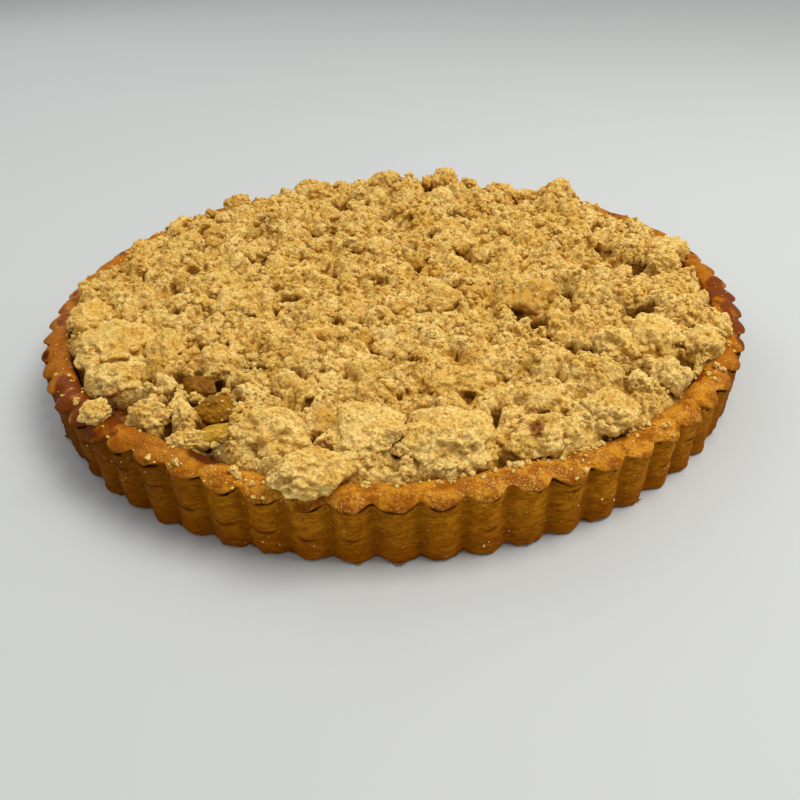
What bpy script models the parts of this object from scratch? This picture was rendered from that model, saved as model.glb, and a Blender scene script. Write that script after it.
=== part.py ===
"""Apple crumb tart: a fluted pastry case, the apple filling in it and a heap of crumb on top.

Metres, +Z up. The origin is the centre of the flat base and the front of the tart faces -Y.
A "turn" is an angle about the axis, counted from the front towards +X. Places on the tart are
given as (x, y) shares of its radius, because the whole heap follows the size of the case.
"""

import math
import random

import bmesh
import bpy
from mathutils import Matrix, Vector, geometry, noise

MM = 0.001

# Driving dimensions of the pastry case
TART_RADIUS = 140 * MM  # to the crest of the outermost flute
FLUTES = 65
FIRST_VALLEY = math.radians(-42.05)  # turn of one of the valleys between flutes
FLUTE_DEPTH = 4.0 * MM
FLUTE_ROUNDNESS = 0.75  # below 1 the flutes are fat and the valleys between them narrow
LIP_OVERHANG = 0.8 * MM
WALL_LEAN = 1.4 * MM  # how far the wall leans out between its foot and the lip
FOOT_ROUNDING = 1.4 * MM
LIP_HEIGHT = 21.9 * MM  # where the rim's lip overhangs the wall
RIM_HEIGHT = 25.0 * MM  # top of the rim
RIM_CREST_RADIUS = 134.5 * MM
RIM_INNER_RADIUS = 129.5 * MM
RIM_INNER_DROP = 0.9 * MM
RIM_UNEVENNESS = 0.5 * MM
LIP_RAGGEDNESS = 0.9 * MM
LIP_DROOP = 0.5 * MM  # how much lower the lip hangs on the crest of a flute
LIP_UNEVENNESS = 0.4 * MM
LIP_THICKNESS = 1.9 * MM
LIP_ROUNDING = 0.7 * MM
LIP_SHOULDER = 3.5 * MM  # height over which the wall flares out to the lip
FLOOR_RADIUS = 126.5 * MM
FLOOR_THICKNESS = 4.0 * MM
CLEARANCE = 0.3 * MM
FLUTED_STEPS = FLUTES * 6
PLAIN_STEPS = FLUTES * 2

# Where the rim swelled or sank in the oven: turn and half width in degrees, rise
RIM_SWELLS = (
    (-33, 21, 3.2 * MM),
    (14, 8, 1.3 * MM),
    (44, 32, -1.7 * MM),
    (112, 34, 0.9 * MM),
    (168, 30, -0.8 * MM),
    (-128, 36, 1.1 * MM),
)

# Where the crumb stops short of the rim: turn and half width in degrees, depth
EDGE_DENTS = (
    (-45, 8, 9 * MM),
    (-33, 4, 6 * MM),
    (50, 5, 4 * MM),
    (76, 6, 4 * MM),
    (-64, 7, 3 * MM),
    (128, 9, 4 * MM),
    (-118, 8, 4 * MM),
)

# Filling and crumb
FILLING_TOP = 22.0 * MM
CRUMB_BASE = FILLING_TOP + CLEARANCE
CRUMB_RADIUS = 129.6 * MM  # mean edge of the heap, which laps onto the rim here and there
CRUMB_LEVEL = 30.8 * MM  # mean height of the packed crumb under the loose clumps
CRUMB_ROLL = 1.5 * MM  # height of its broad waves
CRUMB_RIPPLE = 0.9 * MM  # height of its short waves
EDGE_WANDER = 2.2 * MM
KNOB_SPACING = 7.0 * MM
KNOB_SHIFT = 1.6 * MM
KNOB_HEIGHT = 2.3 * MM
CORE_SEED = 5

# Clumps that stand out of the heap: place, length, width, height, turn in degrees
CLUMPS = (
    ((0.12, -0.82), 31, 24, 16, -8),
    ((-0.07, -0.79), 25, 26, 15, 20),
    ((-0.29, -0.77), 29, 21, 15, -25),
    ((0.31, -0.81), 23, 15, 12, 22),
    ((0.47, -0.74), 19, 18, 12, 35),
    ((-0.56, -0.67), 17, 14, 13, -30),
    ((-0.48, -0.715), 9, 15, 12, 12),
    ((-0.435, -0.785), 13, 11, 12, 0),
    ((-0.45, -0.45), 18, 19, 14, 15),
    ((-0.59, -0.38), 13, 26, 13, 12),
    ((-0.73, -0.34), 28, 36, 12, 25),
    ((-0.66, -0.52), 21, 17, 12, -20),
    ((-0.84, -0.18), 17, 22, 12, 8),
    ((-0.25, -0.60), 11, 18, 12, 18),
    ((0.38, -0.19), 23, 22, 17, 5),
    ((0.66, -0.42), 20, 25, 14, -18),
    ((0.56, -0.47), 15, 18, 13, 10),
    ((0.65, -0.61), 13, 12, 13, 40),
    ((0.565, -0.645), 8, 10, 10, 15),
    ((0.78, -0.44), 18, 15, 12, 50),
    ((0.85, -0.33), 9, 16, 12, 20),
    ((0.15, -0.60), 25, 16, 12, 5),
    ((0.22, 0.80), 15, 14, 17, 0),
    ((0.00, 0.82), 17, 14, 16, 30),
    ((-0.55, 0.66), 13, 12, 15, 0),
    ((0.62, 0.62), 19, 14, 16, -40),
    ((-0.28, 0.80), 22, 16, 14, 15),
    ((0.42, 0.70), 18, 14, 13, -20),
    ((-0.80, 0.28), 14, 20, 13, 0),
    ((0.82, 0.02), 13, 17, 14, 10),
)

CLUMP_SINK = 0.2  # share of its height that a clump's middle lies below the packed crumb

# Mounds of the packed crumb, and hollows in it: place, radius, rise
MOUNDS = (
    ((0.22, 0.80), 11 * MM, 3.5 * MM),
    ((0.00, 0.82), 12 * MM, 3.0 * MM),
    ((-0.55, 0.66), 9 * MM, 2.5 * MM),
    ((0.64, 0.60), 12 * MM, 3.5 * MM),
    ((0.38, -0.17), 13 * MM, 2.5 * MM),
    ((0.05, 0.10), 40 * MM, 1.0 * MM),
    ((-0.06, -0.69), 4 * MM, -4 * MM),
    ((0.42, -0.47), 5 * MM, -4 * MM),
    ((0.36, -0.33), 6 * MM, -4 * MM),
    ((0.48, -0.10), 5 * MM, -4 * MM),
    ((0.57, -0.58), 5 * MM, -4 * MM),
    ((0.66, -0.30), 5 * MM, -3 * MM),
    ((0.73, -0.02), 7 * MM, -4 * MM),
    ((-0.40, 0.26), 7 * MM, -4 * MM),
    ((-0.17, 0.66), 11 * MM, -4 * MM),
    ((-0.45, -0.32), 6 * MM, -3 * MM),
    ((-0.40, -0.80), 6 * MM, -4 * MM),
    ((-0.45, -0.61), 7 * MM, -3 * MM),
)

# Further clumps, scattered largest first: how many, width
SCATTER = (
    (15, 14.0 * MM),
    (7, 10.0 * MM),
)
SCATTER_SHAPE = (1.15, 0.95, 0.8)  # length, width and height for a width of 1
SCATTER_REACH = 0.89  # share of the tart's radius
SCATTER_SEED = 11
CLUMP_ROUGHNESS = 0.34
CLUMP_KNOBS = 0.20

# Chunks of apple that show between the clumps: place, length, width, height, turn, tilt (degrees)
APPLES = (
    ((-0.475, -0.555), 13.5, 9.0, 7.5, 12, -6),
    ((-0.425, -0.655), 14.5, 9.5, 8.0, -6, 8),
    ((-0.405, -0.740), 13.5, 8.5, 6.8, 10, -5),
)

APPLE_BEVEL = 0.2  # share of the chunk's size
APPLE_SOFTNESS = 0.9 * MM
APPLE_POCKET_GAP = 1.6 * MM  # room round each chunk
LUMP_GAP = 0.5 * MM

# Clumps that rolled onto the rim and lie free: name, place, length, width, height, turn (degrees)
RIM_LUMPS = (
    ("rim_lump_front", (-0.185, -0.915), 24, 18, 11, 8),
    ("rim_lump_left", (-0.70, -0.645), 11, 9.5, 7.5, 40),
)
RIM_LUMP_LIFT = 0.36  # share of its height that a lump's middle stands above the rim

CUTTER_MARGIN = 20 * MM  # how far the cutting shapes reach beyond what they cut
SLIVER_ANGLE = math.radians(4)  # faces that meet at less are joined after cutting
SHARP_ANGLE = math.radians(32)


def srgb(red, green, blue):
    """A colour of 0 to 255 a channel as the linear values that a shader takes."""

    def linear(value):
        share = value / 255
        return share / 12.92 if share <= 0.04045 else ((share + 0.055) / 1.055) ** 2.4

    return (linear(red), linear(green), linear(blue), 1)


def material(name, colour, roughness):
    made = bpy.data.materials.new(name)
    made.use_nodes = True
    shader = made.node_tree.nodes["Principled BSDF"]
    shader.inputs["Base Color"].default_value = colour
    shader.inputs["Roughness"].default_value = roughness
    shader.inputs["Metallic"].default_value = 0
    return made


def add_object(name, bm, finish):
    """The bmesh as a named object with outward faces and one material."""
    bmesh.ops.recalc_face_normals(bm, faces=bm.faces)
    mesh = bpy.data.meshes.new(name)
    bm.to_mesh(mesh)
    bm.free()
    if finish:
        mesh.materials.append(finish)
    mesh.shade_smooth()
    mesh.set_sharp_from_angle(angle=SHARP_ANGLE)
    made = bpy.data.objects.new(name, mesh)
    bpy.context.scene.collection.objects.link(made)
    return made


# ---- shape of the case


def polar(turn, radius, height):
    return Vector((radius * math.sin(turn), -radius * math.cos(turn), height))


def unevenness(turn, waves, seed):
    """Smooth noise of about -1 to 1 that closes on itself around the tart."""
    return noise.noise(Vector((waves * math.sin(turn), waves * math.cos(turn), seed)))


def swell(turn, centre, half_width):
    """A hump of 1 at its centre that falls smoothly to 0 at its half width."""
    away = (turn - math.radians(centre) + math.pi) % math.tau - math.pi
    share = min(abs(away) / math.radians(half_width), 1)
    return 0.5 + 0.5 * math.cos(math.pi * share)


def rim_rise(turn):
    """How much higher than its mean the rim stands."""
    rise = sum(height * swell(turn, at, wide) for at, wide, height in RIM_SWELLS)
    return rise + RIM_UNEVENNESS * (unevenness(turn, 3.1, 4.0) + unevenness(turn, 14, 9.0))


def flute(turn):
    """0 in a valley and 1 on the crest of a flute."""
    share = (turn - FIRST_VALLEY) * FLUTES / math.tau
    return abs(math.sin(math.pi * share)) ** FLUTE_ROUNDNESS


def lip_radius(turn):
    """The ragged outer edge of the rim. It is true to size at the front, back and sides."""
    ragged = LIP_RAGGEDNESS * abs(unevenness(turn, 24, 2.0)) * math.sin(2 * turn) ** 2
    return TART_RADIUS - FLUTE_DEPTH * (1 - flute(turn)) - ragged


def wall_radius(turn, height):
    """The fluted wall under the lip."""
    crest = TART_RADIUS - LIP_OVERHANG - WALL_LEAN * (1 - height / LIP_HEIGHT)
    return crest - FLUTE_DEPTH * (1 - flute(turn))


def ring(bm, count, radius, height):
    """A closed ring of vertices, with radius and height given as functions of the turn."""
    turns = [FIRST_VALLEY + math.tau * step / count for step in range(count)]
    return [bm.verts.new(polar(turn, radius(turn), height(turn))) for turn in turns]


def bridge(bm, lower, upper):
    """Faces between two rings. The finer one may have three times as many vertices."""
    fine, coarse = (lower, upper) if len(lower) >= len(upper) else (upper, lower)
    ratio = len(fine) // len(coarse)
    for step, here in enumerate(coarse):
        there = coarse[(step + 1) % len(coarse)]
        edge = [fine[(step * ratio + part) % len(fine)] for part in range(ratio + 1)]
        if ratio == 1:
            bm.faces.new((edge[0], edge[1], there, here))
            continue
        bm.faces.new((edge[0], edge[1], here))
        bm.faces.new((edge[1], edge[2], there, here))
        bm.faces.new((edge[2], edge[3], there))


def make_disc(name, finish, count, lower, upper):
    """A closed disc between two (radius, height) levels."""
    bm = bmesh.new()
    rows = [ring(bm, count, lambda turn: radius, lambda turn: height) for radius, height in (lower, upper)]
    bridge(bm, *rows)
    for row in rows:
        bm.faces.new(row)
    return add_object(name, bm, finish)


def inner_radius(height):
    """The smooth inside of the case, which leans out towards the rim."""
    share = (height - FLOOR_THICKNESS) / (RIM_HEIGHT - FLOOR_THICKNESS)
    return FLOOR_RADIUS + (RIM_INNER_RADIUS - FLOOR_RADIUS) * share


def make_crust(finish):
    """Base, fluted wall, overhanging lip, rim, inner wall and floor, from below to above."""
    bm = bmesh.new()

    def lip_height(turn):
        droop = LIP_DROOP * flute(turn) + LIP_UNEVENNESS * unevenness(turn, 31, 7.0)
        return LIP_HEIGHT + rim_rise(turn) - droop

    def edge_radius(turn):
        return lip_radius(turn) - LIP_ROUNDING - LIP_DROOP * flute(turn)

    def rim_height(turn):
        return RIM_HEIGHT + rim_rise(turn)

    profile = (
        (PLAIN_STEPS, lambda turn: FLOOR_RADIUS, lambda turn: 0),
        (FLUTED_STEPS, lambda turn: wall_radius(turn, 0) - FOOT_ROUNDING, lambda turn: 0),
        (FLUTED_STEPS, lambda turn: wall_radius(turn, 0), lambda turn: FOOT_ROUNDING),
        (
            FLUTED_STEPS,
            lambda turn: wall_radius(turn, LIP_HEIGHT - LIP_SHOULDER),
            lambda turn: lip_height(turn) - LIP_SHOULDER,
        ),
        (FLUTED_STEPS, lip_radius, lip_height),
        (FLUTED_STEPS, edge_radius, lambda turn: lip_height(turn) + LIP_THICKNESS),
        (PLAIN_STEPS, lambda turn: RIM_CREST_RADIUS, rim_height),
        (PLAIN_STEPS, lambda turn: RIM_INNER_RADIUS, lambda turn: rim_height(turn) - RIM_INNER_DROP),
        (PLAIN_STEPS, lambda turn: FLOOR_RADIUS, lambda turn: FLOOR_THICKNESS),
    )
    rows = [ring(bm, *level) for level in profile]
    for lower, upper in zip(rows, rows[1:]):
        bridge(bm, lower, upper)
    bm.faces.new(rows[0])
    bm.faces.new(rows[-1])
    return add_object("crust", bm, finish)


def make_filling(finish):
    """The apple filling, a disc that fills the case to just under the rim."""
    bottom = FLOOR_THICKNESS + CLEARANCE
    lower_radius = inner_radius(bottom) - CLEARANCE
    upper_radius = inner_radius(FILLING_TOP) - 2 * CLEARANCE
    return make_disc("filling", finish, PLAIN_STEPS, (lower_radius, bottom), (upper_radius, FILLING_TOP))


# ---- the heap of crumb


def place(share):
    return share[0] * TART_RADIUS, share[1] * TART_RADIUS


def crumb_height(x, y):
    """The top of the packed crumb with its mounds and hollows. It falls away near its edge."""
    reach = min(math.hypot(x, y) / CRUMB_RADIUS, 1)
    height = CRUMB_LEVEL - CRUMB_BASE
    height += CRUMB_ROLL * noise.noise(Vector((x, y, 0)) * 28)
    height += CRUMB_RIPPLE * noise.noise(Vector((x, y, 1)) * 75)
    for share, radius, rise in MOUNDS:
        at_x, at_y = place(share)
        height += rise * math.exp(-((x - at_x) ** 2 + (y - at_y) ** 2) / radius**2)
    return CRUMB_BASE + height * (1 - 0.6 * reach**30)


def crumb_edge(turn, share):
    """A point this share of the way out to the heap's uneven outline, on the base."""
    outline = CRUMB_RADIUS + EDGE_WANDER * (unevenness(turn, 9, 3.0) + unevenness(turn, 31, 6.0))
    outline -= sum(depth * swell(turn, at, wide) for at, wide, depth in EDGE_DENTS)
    return polar(turn, share * outline, CRUMB_BASE)


def make_core():
    """The packed crumb on which the clumps lie: a flat-bottomed heap with knobs all over."""
    rng = random.Random(CORE_SEED)
    around = round(math.tau * CRUMB_RADIUS / KNOB_SPACING)
    turns = [math.tau * step / around for step in range(around)]
    shoulder = [crumb_edge(turn, 0.985) for turn in turns]
    reaches = [spot.length for spot in shoulder]
    row_spacing = KNOB_SPACING * math.sqrt(3) / 2
    rows = math.ceil(CRUMB_RADIUS / row_spacing)
    spots = list(shoulder)
    for row in range(-rows, rows + 1):
        for column in range(-rows, rows + 1):
            x = (column + row % 2 / 2) * KNOB_SPACING + rng.uniform(-1, 1) * KNOB_SHIFT
            y = row * row_spacing + rng.uniform(-1, 1) * KNOB_SHIFT
            sector = round(math.atan2(x, -y) / math.tau * around) % around
            if math.hypot(x, y) < reaches[sector] - 0.6 * KNOB_SPACING:
                spots.append(Vector((x, y, 0)))
    flat = [spot.xy for spot in spots]
    outline = [(step, (step + 1) % around) for step in range(around)]
    inside = 1
    points, _, triangles, *_ = geometry.delaunay_2d_cdt(flat, outline, [], inside, 0.01 * MM)
    bm = bmesh.new()
    top = []
    for point in points:
        knob = rng.uniform(-1, 1) * KNOB_HEIGHT
        top.append(bm.verts.new((point.x, point.y, crumb_height(point.x, point.y) + knob)))
    for triangle in triangles:
        bm.faces.new([top[corner] for corner in triangle])
    base = [bm.verts.new(crumb_edge(turn, 1)) for turn in turns]
    bridge(bm, top[:around], base)
    bm.faces.new(base)
    return add_object("crumb_topping", bm, None)


def lumpy_blob(size, turn, faces_level, seed):
    """A knobbly ellipsoid of crumb about the origin, as a bmesh."""
    bm = bmesh.new()
    bmesh.ops.create_icosphere(bm, subdivisions=faces_level, radius=1)
    for vertex in bm.verts:
        rough = CLUMP_ROUGHNESS * noise.noise(vertex.co * 1.4 + Vector((seed, 0, 0)))
        knobs = CLUMP_KNOBS * noise.noise(vertex.co * 4.3 + Vector((0, seed, 0)))
        vertex.co *= 1 + rough + knobs
        vertex.co *= Vector(size) / 2
    bmesh.ops.rotate(bm, verts=bm.verts, matrix=Matrix.Rotation(turn, 3, "Z"))
    return bm


def clump_places():
    """Every clump as centre, size, turn and level of detail: the named ones, then the scatter."""
    rng = random.Random(SCATTER_SEED)
    places = []
    for share, length, width, height, turn in CLUMPS:
        x, y = place(share)
        size = Vector((length, width, height)) * MM
        middle = crumb_height(x, y) - CLUMP_SINK * size.z
        places.append((Vector((x, y, middle)), size, math.radians(turn), 2))
    apples = [place(apple[0]) for apple in APPLES]
    for count, width in SCATTER:
        wanted = len(places) + count
        while len(places) < wanted:
            turn = rng.uniform(0, math.tau)
            at = polar(turn, SCATTER_REACH * TART_RADIUS * math.sqrt(rng.random()), 0)
            size = Vector(SCATTER_SHAPE) * width * rng.uniform(0.85, 1.2)
            gap = 0.45 * width
            crowded = any(
                math.hypot(at.x - spot.x, at.y - spot.y) < gap + 0.34 * (big.x + big.y) / 2
                for spot, big, _, _ in places
            )
            near_apple = any(math.hypot(at.x - x, at.y - y) < width + 5 * MM for x, y in apples)
            if crowded or near_apple:
                continue
            at.z = crumb_height(at.x, at.y) - CLUMP_SINK * size.z
            places.append((at, size, rng.uniform(0, math.pi), 1))
    return places


def apply_modifiers(target):
    """Keeps the evaluated mesh as the object's own."""
    bpy.context.view_layer.update()
    evaluated = target.evaluated_get(bpy.context.evaluated_depsgraph_get())
    applied = bpy.data.meshes.new_from_object(evaluated)
    target.modifiers.clear()
    target.data = applied


def combine(target, operand, operation):
    """Applies one Boolean with an object or a collection, and removes the operand's objects."""
    modifier = target.modifiers.new("combine", "BOOLEAN")
    modifier.operation = operation
    modifier.solver = "MANIFOLD"
    if isinstance(operand, bpy.types.Collection):
        modifier.operand_type = "COLLECTION"
        modifier.collection = operand
        used = list(operand.objects)
    else:
        modifier.object = operand
        used = [operand]
    apply_modifiers(target)
    for old in used:
        bpy.data.objects.remove(old)
    if isinstance(operand, bpy.types.Collection):
        bpy.data.collections.remove(operand)


def dissolve_flat(target):
    """Joins the slivers that cutting left in nearly flat places."""
    bm = bmesh.new()
    bm.from_mesh(target.data)
    bmesh.ops.dissolve_limit(bm, angle_limit=SLIVER_ANGLE, verts=bm.verts, edges=bm.edges)
    bmesh.ops.triangulate(bm, faces=bm.faces)
    bm.to_mesh(target.data)
    bm.free()


def move_to_collection(objects, name):
    made = bpy.data.collections.new(name)
    bpy.context.scene.collection.children.link(made)
    for each in objects:
        bpy.context.scene.collection.objects.unlink(each)
        made.objects.link(each)
    return made


def keep_largest_body(target):
    """Drops loose scraps, and the shells of hollows that fusing sealed."""
    bm = bmesh.new()
    bm.from_mesh(target.data)
    bm.verts.ensure_lookup_table()
    unseen = set(range(len(bm.verts)))
    bodies = []
    while unseen:
        body = [unseen.pop()]
        for index in body:
            for edge in bm.verts[index].link_edges:
                other = edge.other_vert(bm.verts[index]).index
                if other in unseen:
                    unseen.remove(other)
                    body.append(other)
        bodies.append(body)
    bodies.sort(key=len)
    scraps = [bm.verts[index] for body in bodies[:-1] for index in body]
    bmesh.ops.delete(bm, geom=scraps, context="VERTS")
    bm.to_mesh(target.data)
    bm.free()


def make_rim_cutter():
    """The case with its clearance, as a smooth ring that trims whatever would sink into it."""
    beyond = TART_RADIUS + CUTTER_MARGIN
    bm = bmesh.new()

    def over_rim(turn):
        return RIM_HEIGHT + rim_rise(turn) + 1.3 * CLEARANCE

    profile = (
        (lambda turn: FLOOR_RADIUS - CLEARANCE, lambda turn: -CUTTER_MARGIN),
        (lambda turn: RIM_INNER_RADIUS - 2 * CLEARANCE, over_rim),
        (lambda turn: RIM_CREST_RADIUS, over_rim),
        (lambda turn: beyond, over_rim),
        (lambda turn: beyond, lambda turn: -CUTTER_MARGIN),
    )
    rows = [ring(bm, PLAIN_STEPS, *level) for level in profile]
    for lower, upper in zip(rows, rows[1:] + rows[:1]):
        bridge(bm, lower, upper)
    return add_object("rim_cutter", bm, None)


def make_base_cutter():
    """Everything below the crumb."""
    return make_disc("base_cutter", None, FLUTES, (TART_RADIUS, -CUTTER_MARGIN), (TART_RADIUS, CRUMB_BASE))


def grown_hull(source, growth):
    """A cutter that clears an object by the growth all round and leaves it open above."""
    bm = bmesh.new()
    centre = sum((vertex.co for vertex in source.data.vertices), Vector())
    centre /= len(source.data.vertices)
    for vertex in source.data.vertices:
        away = vertex.co - centre
        grown = centre + away * (1 + growth / away.length)
        bm.verts.new(grown)
        bm.verts.new(grown + Vector((0, 0, CUTTER_MARGIN)))
    made = bmesh.ops.convex_hull(bm, input=bm.verts)
    inside = [each for each in made["geom_interior"] if isinstance(each, bmesh.types.BMVert)]
    bmesh.ops.delete(bm, geom=inside, context="VERTS")
    return add_object(source.name + "_cutter", bm, None)


def softened_corner(point, seed):
    """A small shift that differs from corner to corner of a chunk."""
    shifts = [noise.noise(point * 130 + Vector((seed, 9 * axis, 0))) for axis in range(3)]
    return Vector(shifts) * APPLE_SOFTNESS


def make_apples(finish):
    """Cut chunks of apple with soft corners that lie on the filling."""
    chunks = []
    for number, (share, length, width, height, turn, tilt) in enumerate(APPLES, 1):
        x, y = place(share)
        size = Vector((length, width, height)) * MM
        bm = bmesh.new()
        bmesh.ops.create_cube(bm, size=1)
        bmesh.ops.bevel(
            bm, geom=bm.edges, offset=APPLE_BEVEL, segments=2, profile=0.5, affect="EDGES"
        )
        for vertex in bm.verts:
            vertex.co *= size
            vertex.co += softened_corner(vertex.co, number)
        bmesh.ops.rotate(bm, verts=bm.verts, matrix=Matrix.Rotation(math.radians(tilt), 3, "X"))
        bmesh.ops.rotate(bm, verts=bm.verts, matrix=Matrix.Rotation(math.radians(turn), 3, "Z"))
        lowest = min(vertex.co.z for vertex in bm.verts)
        bmesh.ops.translate(bm, verts=bm.verts, vec=(x, y, CRUMB_BASE - lowest))
        chunks.append(add_object(f"apple_chunk_{number}", bm, finish))
    return chunks


def make_rim_lumps(finish):
    """Loose clumps on the rim, each with an underside that follows the rim."""
    lumps = []
    for number, (name, share, length, width, height, turn) in enumerate(RIM_LUMPS):
        x, y = place(share)
        bm = lumpy_blob(Vector((length, width, height)) * MM, math.radians(turn), 2, 40 + number)
        at_turn = math.atan2(x, -y)
        middle = RIM_HEIGHT + rim_rise(at_turn) + RIM_LUMP_LIFT * height * MM
        bmesh.ops.translate(bm, verts=bm.verts, vec=(x, y, middle))
        lump = add_object(name, bm, finish)
        combine(lump, make_rim_cutter(), "DIFFERENCE")
        combine(lump, make_base_cutter(), "DIFFERENCE")
        keep_largest_body(lump)
        lumps.append(lump)
    return lumps


def make_crumb_topping(finish, apples, lumps):
    """The heap: packed crumb with its clumps fused on, cleared of the case, apples and lumps."""
    heap = make_core()
    blobs = []
    for number, (centre, size, turn, detail) in enumerate(clump_places()):
        bm = lumpy_blob(size, turn, detail, 3.7 * number)
        bmesh.ops.translate(bm, verts=bm.verts, vec=centre)
        blobs.append(add_object(f"clump_{number}", bm, None))
    combine(heap, move_to_collection(blobs, "clumps"), "UNION")
    keep_largest_body(heap)
    cutters = [grown_hull(apple, APPLE_POCKET_GAP) for apple in apples]
    cutters += [grown_hull(lump, LUMP_GAP) for lump in lumps]
    cutters += [make_rim_cutter(), make_base_cutter()]
    for cutter in cutters:
        combine(heap, cutter, "DIFFERENCE")
    keep_largest_body(heap)
    dissolve_flat(heap)
    heap.data.materials.clear()
    heap.data.materials.append(finish)
    heap.data.shade_smooth()
    heap.data.set_sharp_from_angle(angle=SHARP_ANGLE)
    return heap


for old in list(bpy.data.objects):
    bpy.data.objects.remove(old)

pastry = material("crust", srgb(176, 118, 44), 0.75)
apple_jam = material("filling", srgb(104, 48, 14), 0.25)
apple_flesh = material("apple", srgb(172, 124, 44), 0.35)
crumb = material("crumb", srgb(220, 178, 108), 0.9)

make_crust(pastry)
make_filling(apple_jam)
apple_chunks = make_apples(apple_flesh)
rim_lumps = make_rim_lumps(crumb)
make_crumb_topping(crumb, apple_chunks, rim_lumps)
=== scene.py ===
import math
import random

import bmesh
import bpy
import numpy as np
from mathutils import Matrix, Vector, noise
from mathutils.bvhtree import BVHTree


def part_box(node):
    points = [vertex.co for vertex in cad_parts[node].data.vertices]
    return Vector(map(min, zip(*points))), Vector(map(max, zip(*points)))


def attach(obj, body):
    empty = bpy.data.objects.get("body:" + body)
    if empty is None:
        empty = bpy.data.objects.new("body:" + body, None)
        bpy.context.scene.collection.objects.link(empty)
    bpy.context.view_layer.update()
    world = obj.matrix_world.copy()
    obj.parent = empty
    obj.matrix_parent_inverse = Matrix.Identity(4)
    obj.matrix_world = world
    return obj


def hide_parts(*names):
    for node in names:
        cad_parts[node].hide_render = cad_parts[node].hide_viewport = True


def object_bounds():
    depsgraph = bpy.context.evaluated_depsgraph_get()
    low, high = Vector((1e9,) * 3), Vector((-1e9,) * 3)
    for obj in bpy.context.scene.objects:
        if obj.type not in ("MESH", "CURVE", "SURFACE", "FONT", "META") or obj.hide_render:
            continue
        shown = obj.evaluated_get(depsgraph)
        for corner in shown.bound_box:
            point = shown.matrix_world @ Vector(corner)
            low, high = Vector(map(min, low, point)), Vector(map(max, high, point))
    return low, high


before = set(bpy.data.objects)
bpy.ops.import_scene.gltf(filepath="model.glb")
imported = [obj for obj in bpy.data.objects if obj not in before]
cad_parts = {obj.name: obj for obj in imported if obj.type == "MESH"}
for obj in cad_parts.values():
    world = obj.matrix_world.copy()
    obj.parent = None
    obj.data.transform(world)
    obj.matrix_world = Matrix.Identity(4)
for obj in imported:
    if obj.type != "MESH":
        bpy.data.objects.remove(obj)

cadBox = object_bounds()
mm = 0.001
print("frame loaded")


# The same shape rules as the solid case. A turn is an angle from the front (-Y) towards +X.
tart = {
    "radius": 140 * mm,
    "flutes": 65,
    "firstValley": math.radians(-42.05),
    "fluteDepth": 3.2 * mm,  # at the lip
    "wallDepth": 2.8 * mm,
    "fluteRoundness": 0.75,
    "valleySoftness": 0.05,
    "lipOverhang": 0.8 * mm,
    "wallLean": 1.4 * mm,
    "footRounding": 1.4 * mm,
    "lipHeight": 21.9 * mm,
    "rimHeight": 25.0 * mm,
    "rimCrest": 134.5 * mm,
    "rimInner": 129.5 * mm,
    "rimInnerDrop": 0.9 * mm,
    "rimUnevenness": 0.5 * mm,
    "lipRaggedness": 0.9 * mm,
    "lipDroop": 0.5 * mm,
    "lipUnevenness": 0.4 * mm,
    "floorRadius": 126.5 * mm,
    "floorThickness": 4.0 * mm,
    "fillingTop": 22.0 * mm,
    # turn and half width in degrees, rise in mm
    "swells": ((-33, 21, 3.2), (14, 8, 1.3), (44, 32, -1.7), (112, 34, 0.9), (168, 30, -0.8), (-128, 36, 1.1)),
}


def ringNoise(turns, waves, seed):
    return np.array([noise.noise((waves * math.sin(t), waves * math.cos(t), seed)) for t in turns])


def swell(turns, centre, halfWidth):
    away = (turns - math.radians(centre) + math.pi) % math.tau - math.pi
    share = np.minimum(np.abs(away) / math.radians(halfWidth), 1)
    return 0.5 + 0.5 * np.cos(math.pi * share)


def rimRise(turns):
    rise = sum(height * mm * swell(turns, at, wide) for at, wide, height in tart["swells"])
    return rise + tart["rimUnevenness"] * (ringNoise(turns, 3.1, 4.0) + ringNoise(turns, 14, 9.0))


def fluteBulge(turns):  # 0 in a valley and 1 on the crest of a flute, the valley softened a little
    share = (turns - tart["firstValley"]) * tart["flutes"] / math.tau
    soft, power = tart["valleySoftness"], tart["fluteRoundness"] / 2
    return ((np.sin(math.pi * share) ** 2 + soft) ** power - soft**power) / ((1 + soft) ** power - soft**power)


def smoothstep(low, high, value):
    share = np.clip((value - low) / (high - low), 0, 1)
    return share * share * (3 - 2 * share)


def degreesFrom(turns, at):  # how far round from a turn in degrees
    return (np.degrees(turns) - at + 180) % 360 - 180


def outward(turn, far):  # the place in the direction of a turn, that far from the middle
    return far * math.sin(turn), -far * math.cos(turn)


def measured(x, y, spot, turn):  # from a spot, along its turn and across
    c, s = math.cos(turn), math.sin(turn)
    return (x - spot[0]) * c + (y - spot[1]) * s, -(x - spot[0]) * s + (y - spot[1]) * c


def biased(rng, smallest, largest, power):  # a random size, more often a small one
    return smallest + (largest - smallest) * rng.random() ** power


def gridQuads(number):  # between rows of point numbers
    return np.stack([number[:-1, :-1], number[:-1, 1:], number[1:, 1:], number[1:, :-1]], -1).reshape(-1, 4)


def ringQuads(number):  # the same for rows that close round the axis
    return gridQuads(np.concatenate([number, number[:, :1]], 1))


# Noise for whole arrays of points, the same on each run
def cellShare(cells, seed):  # a fixed random number from 0 to 1 for each cell of a lattice
    c = cells.astype(np.int64)
    h = (c[..., 0] * 73856093) ^ (c[..., 1] * 19349663) ^ (c[..., 2] * 83492791) ^ (seed * 982451653)
    h = ((h ^ (h >> 15)) * 2246822519) & 0xFFFFFFFF
    h = ((h ^ (h >> 13)) * 3266489917) & 0xFFFFFFFF
    return ((h ^ (h >> 16)) & 0xFFFFFF) / 0xFFFFFF


tilted = np.array(Matrix.Rotation(0.7, 3, (1, 2, 3)))  # so that no lattice lines up with the heap


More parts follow.
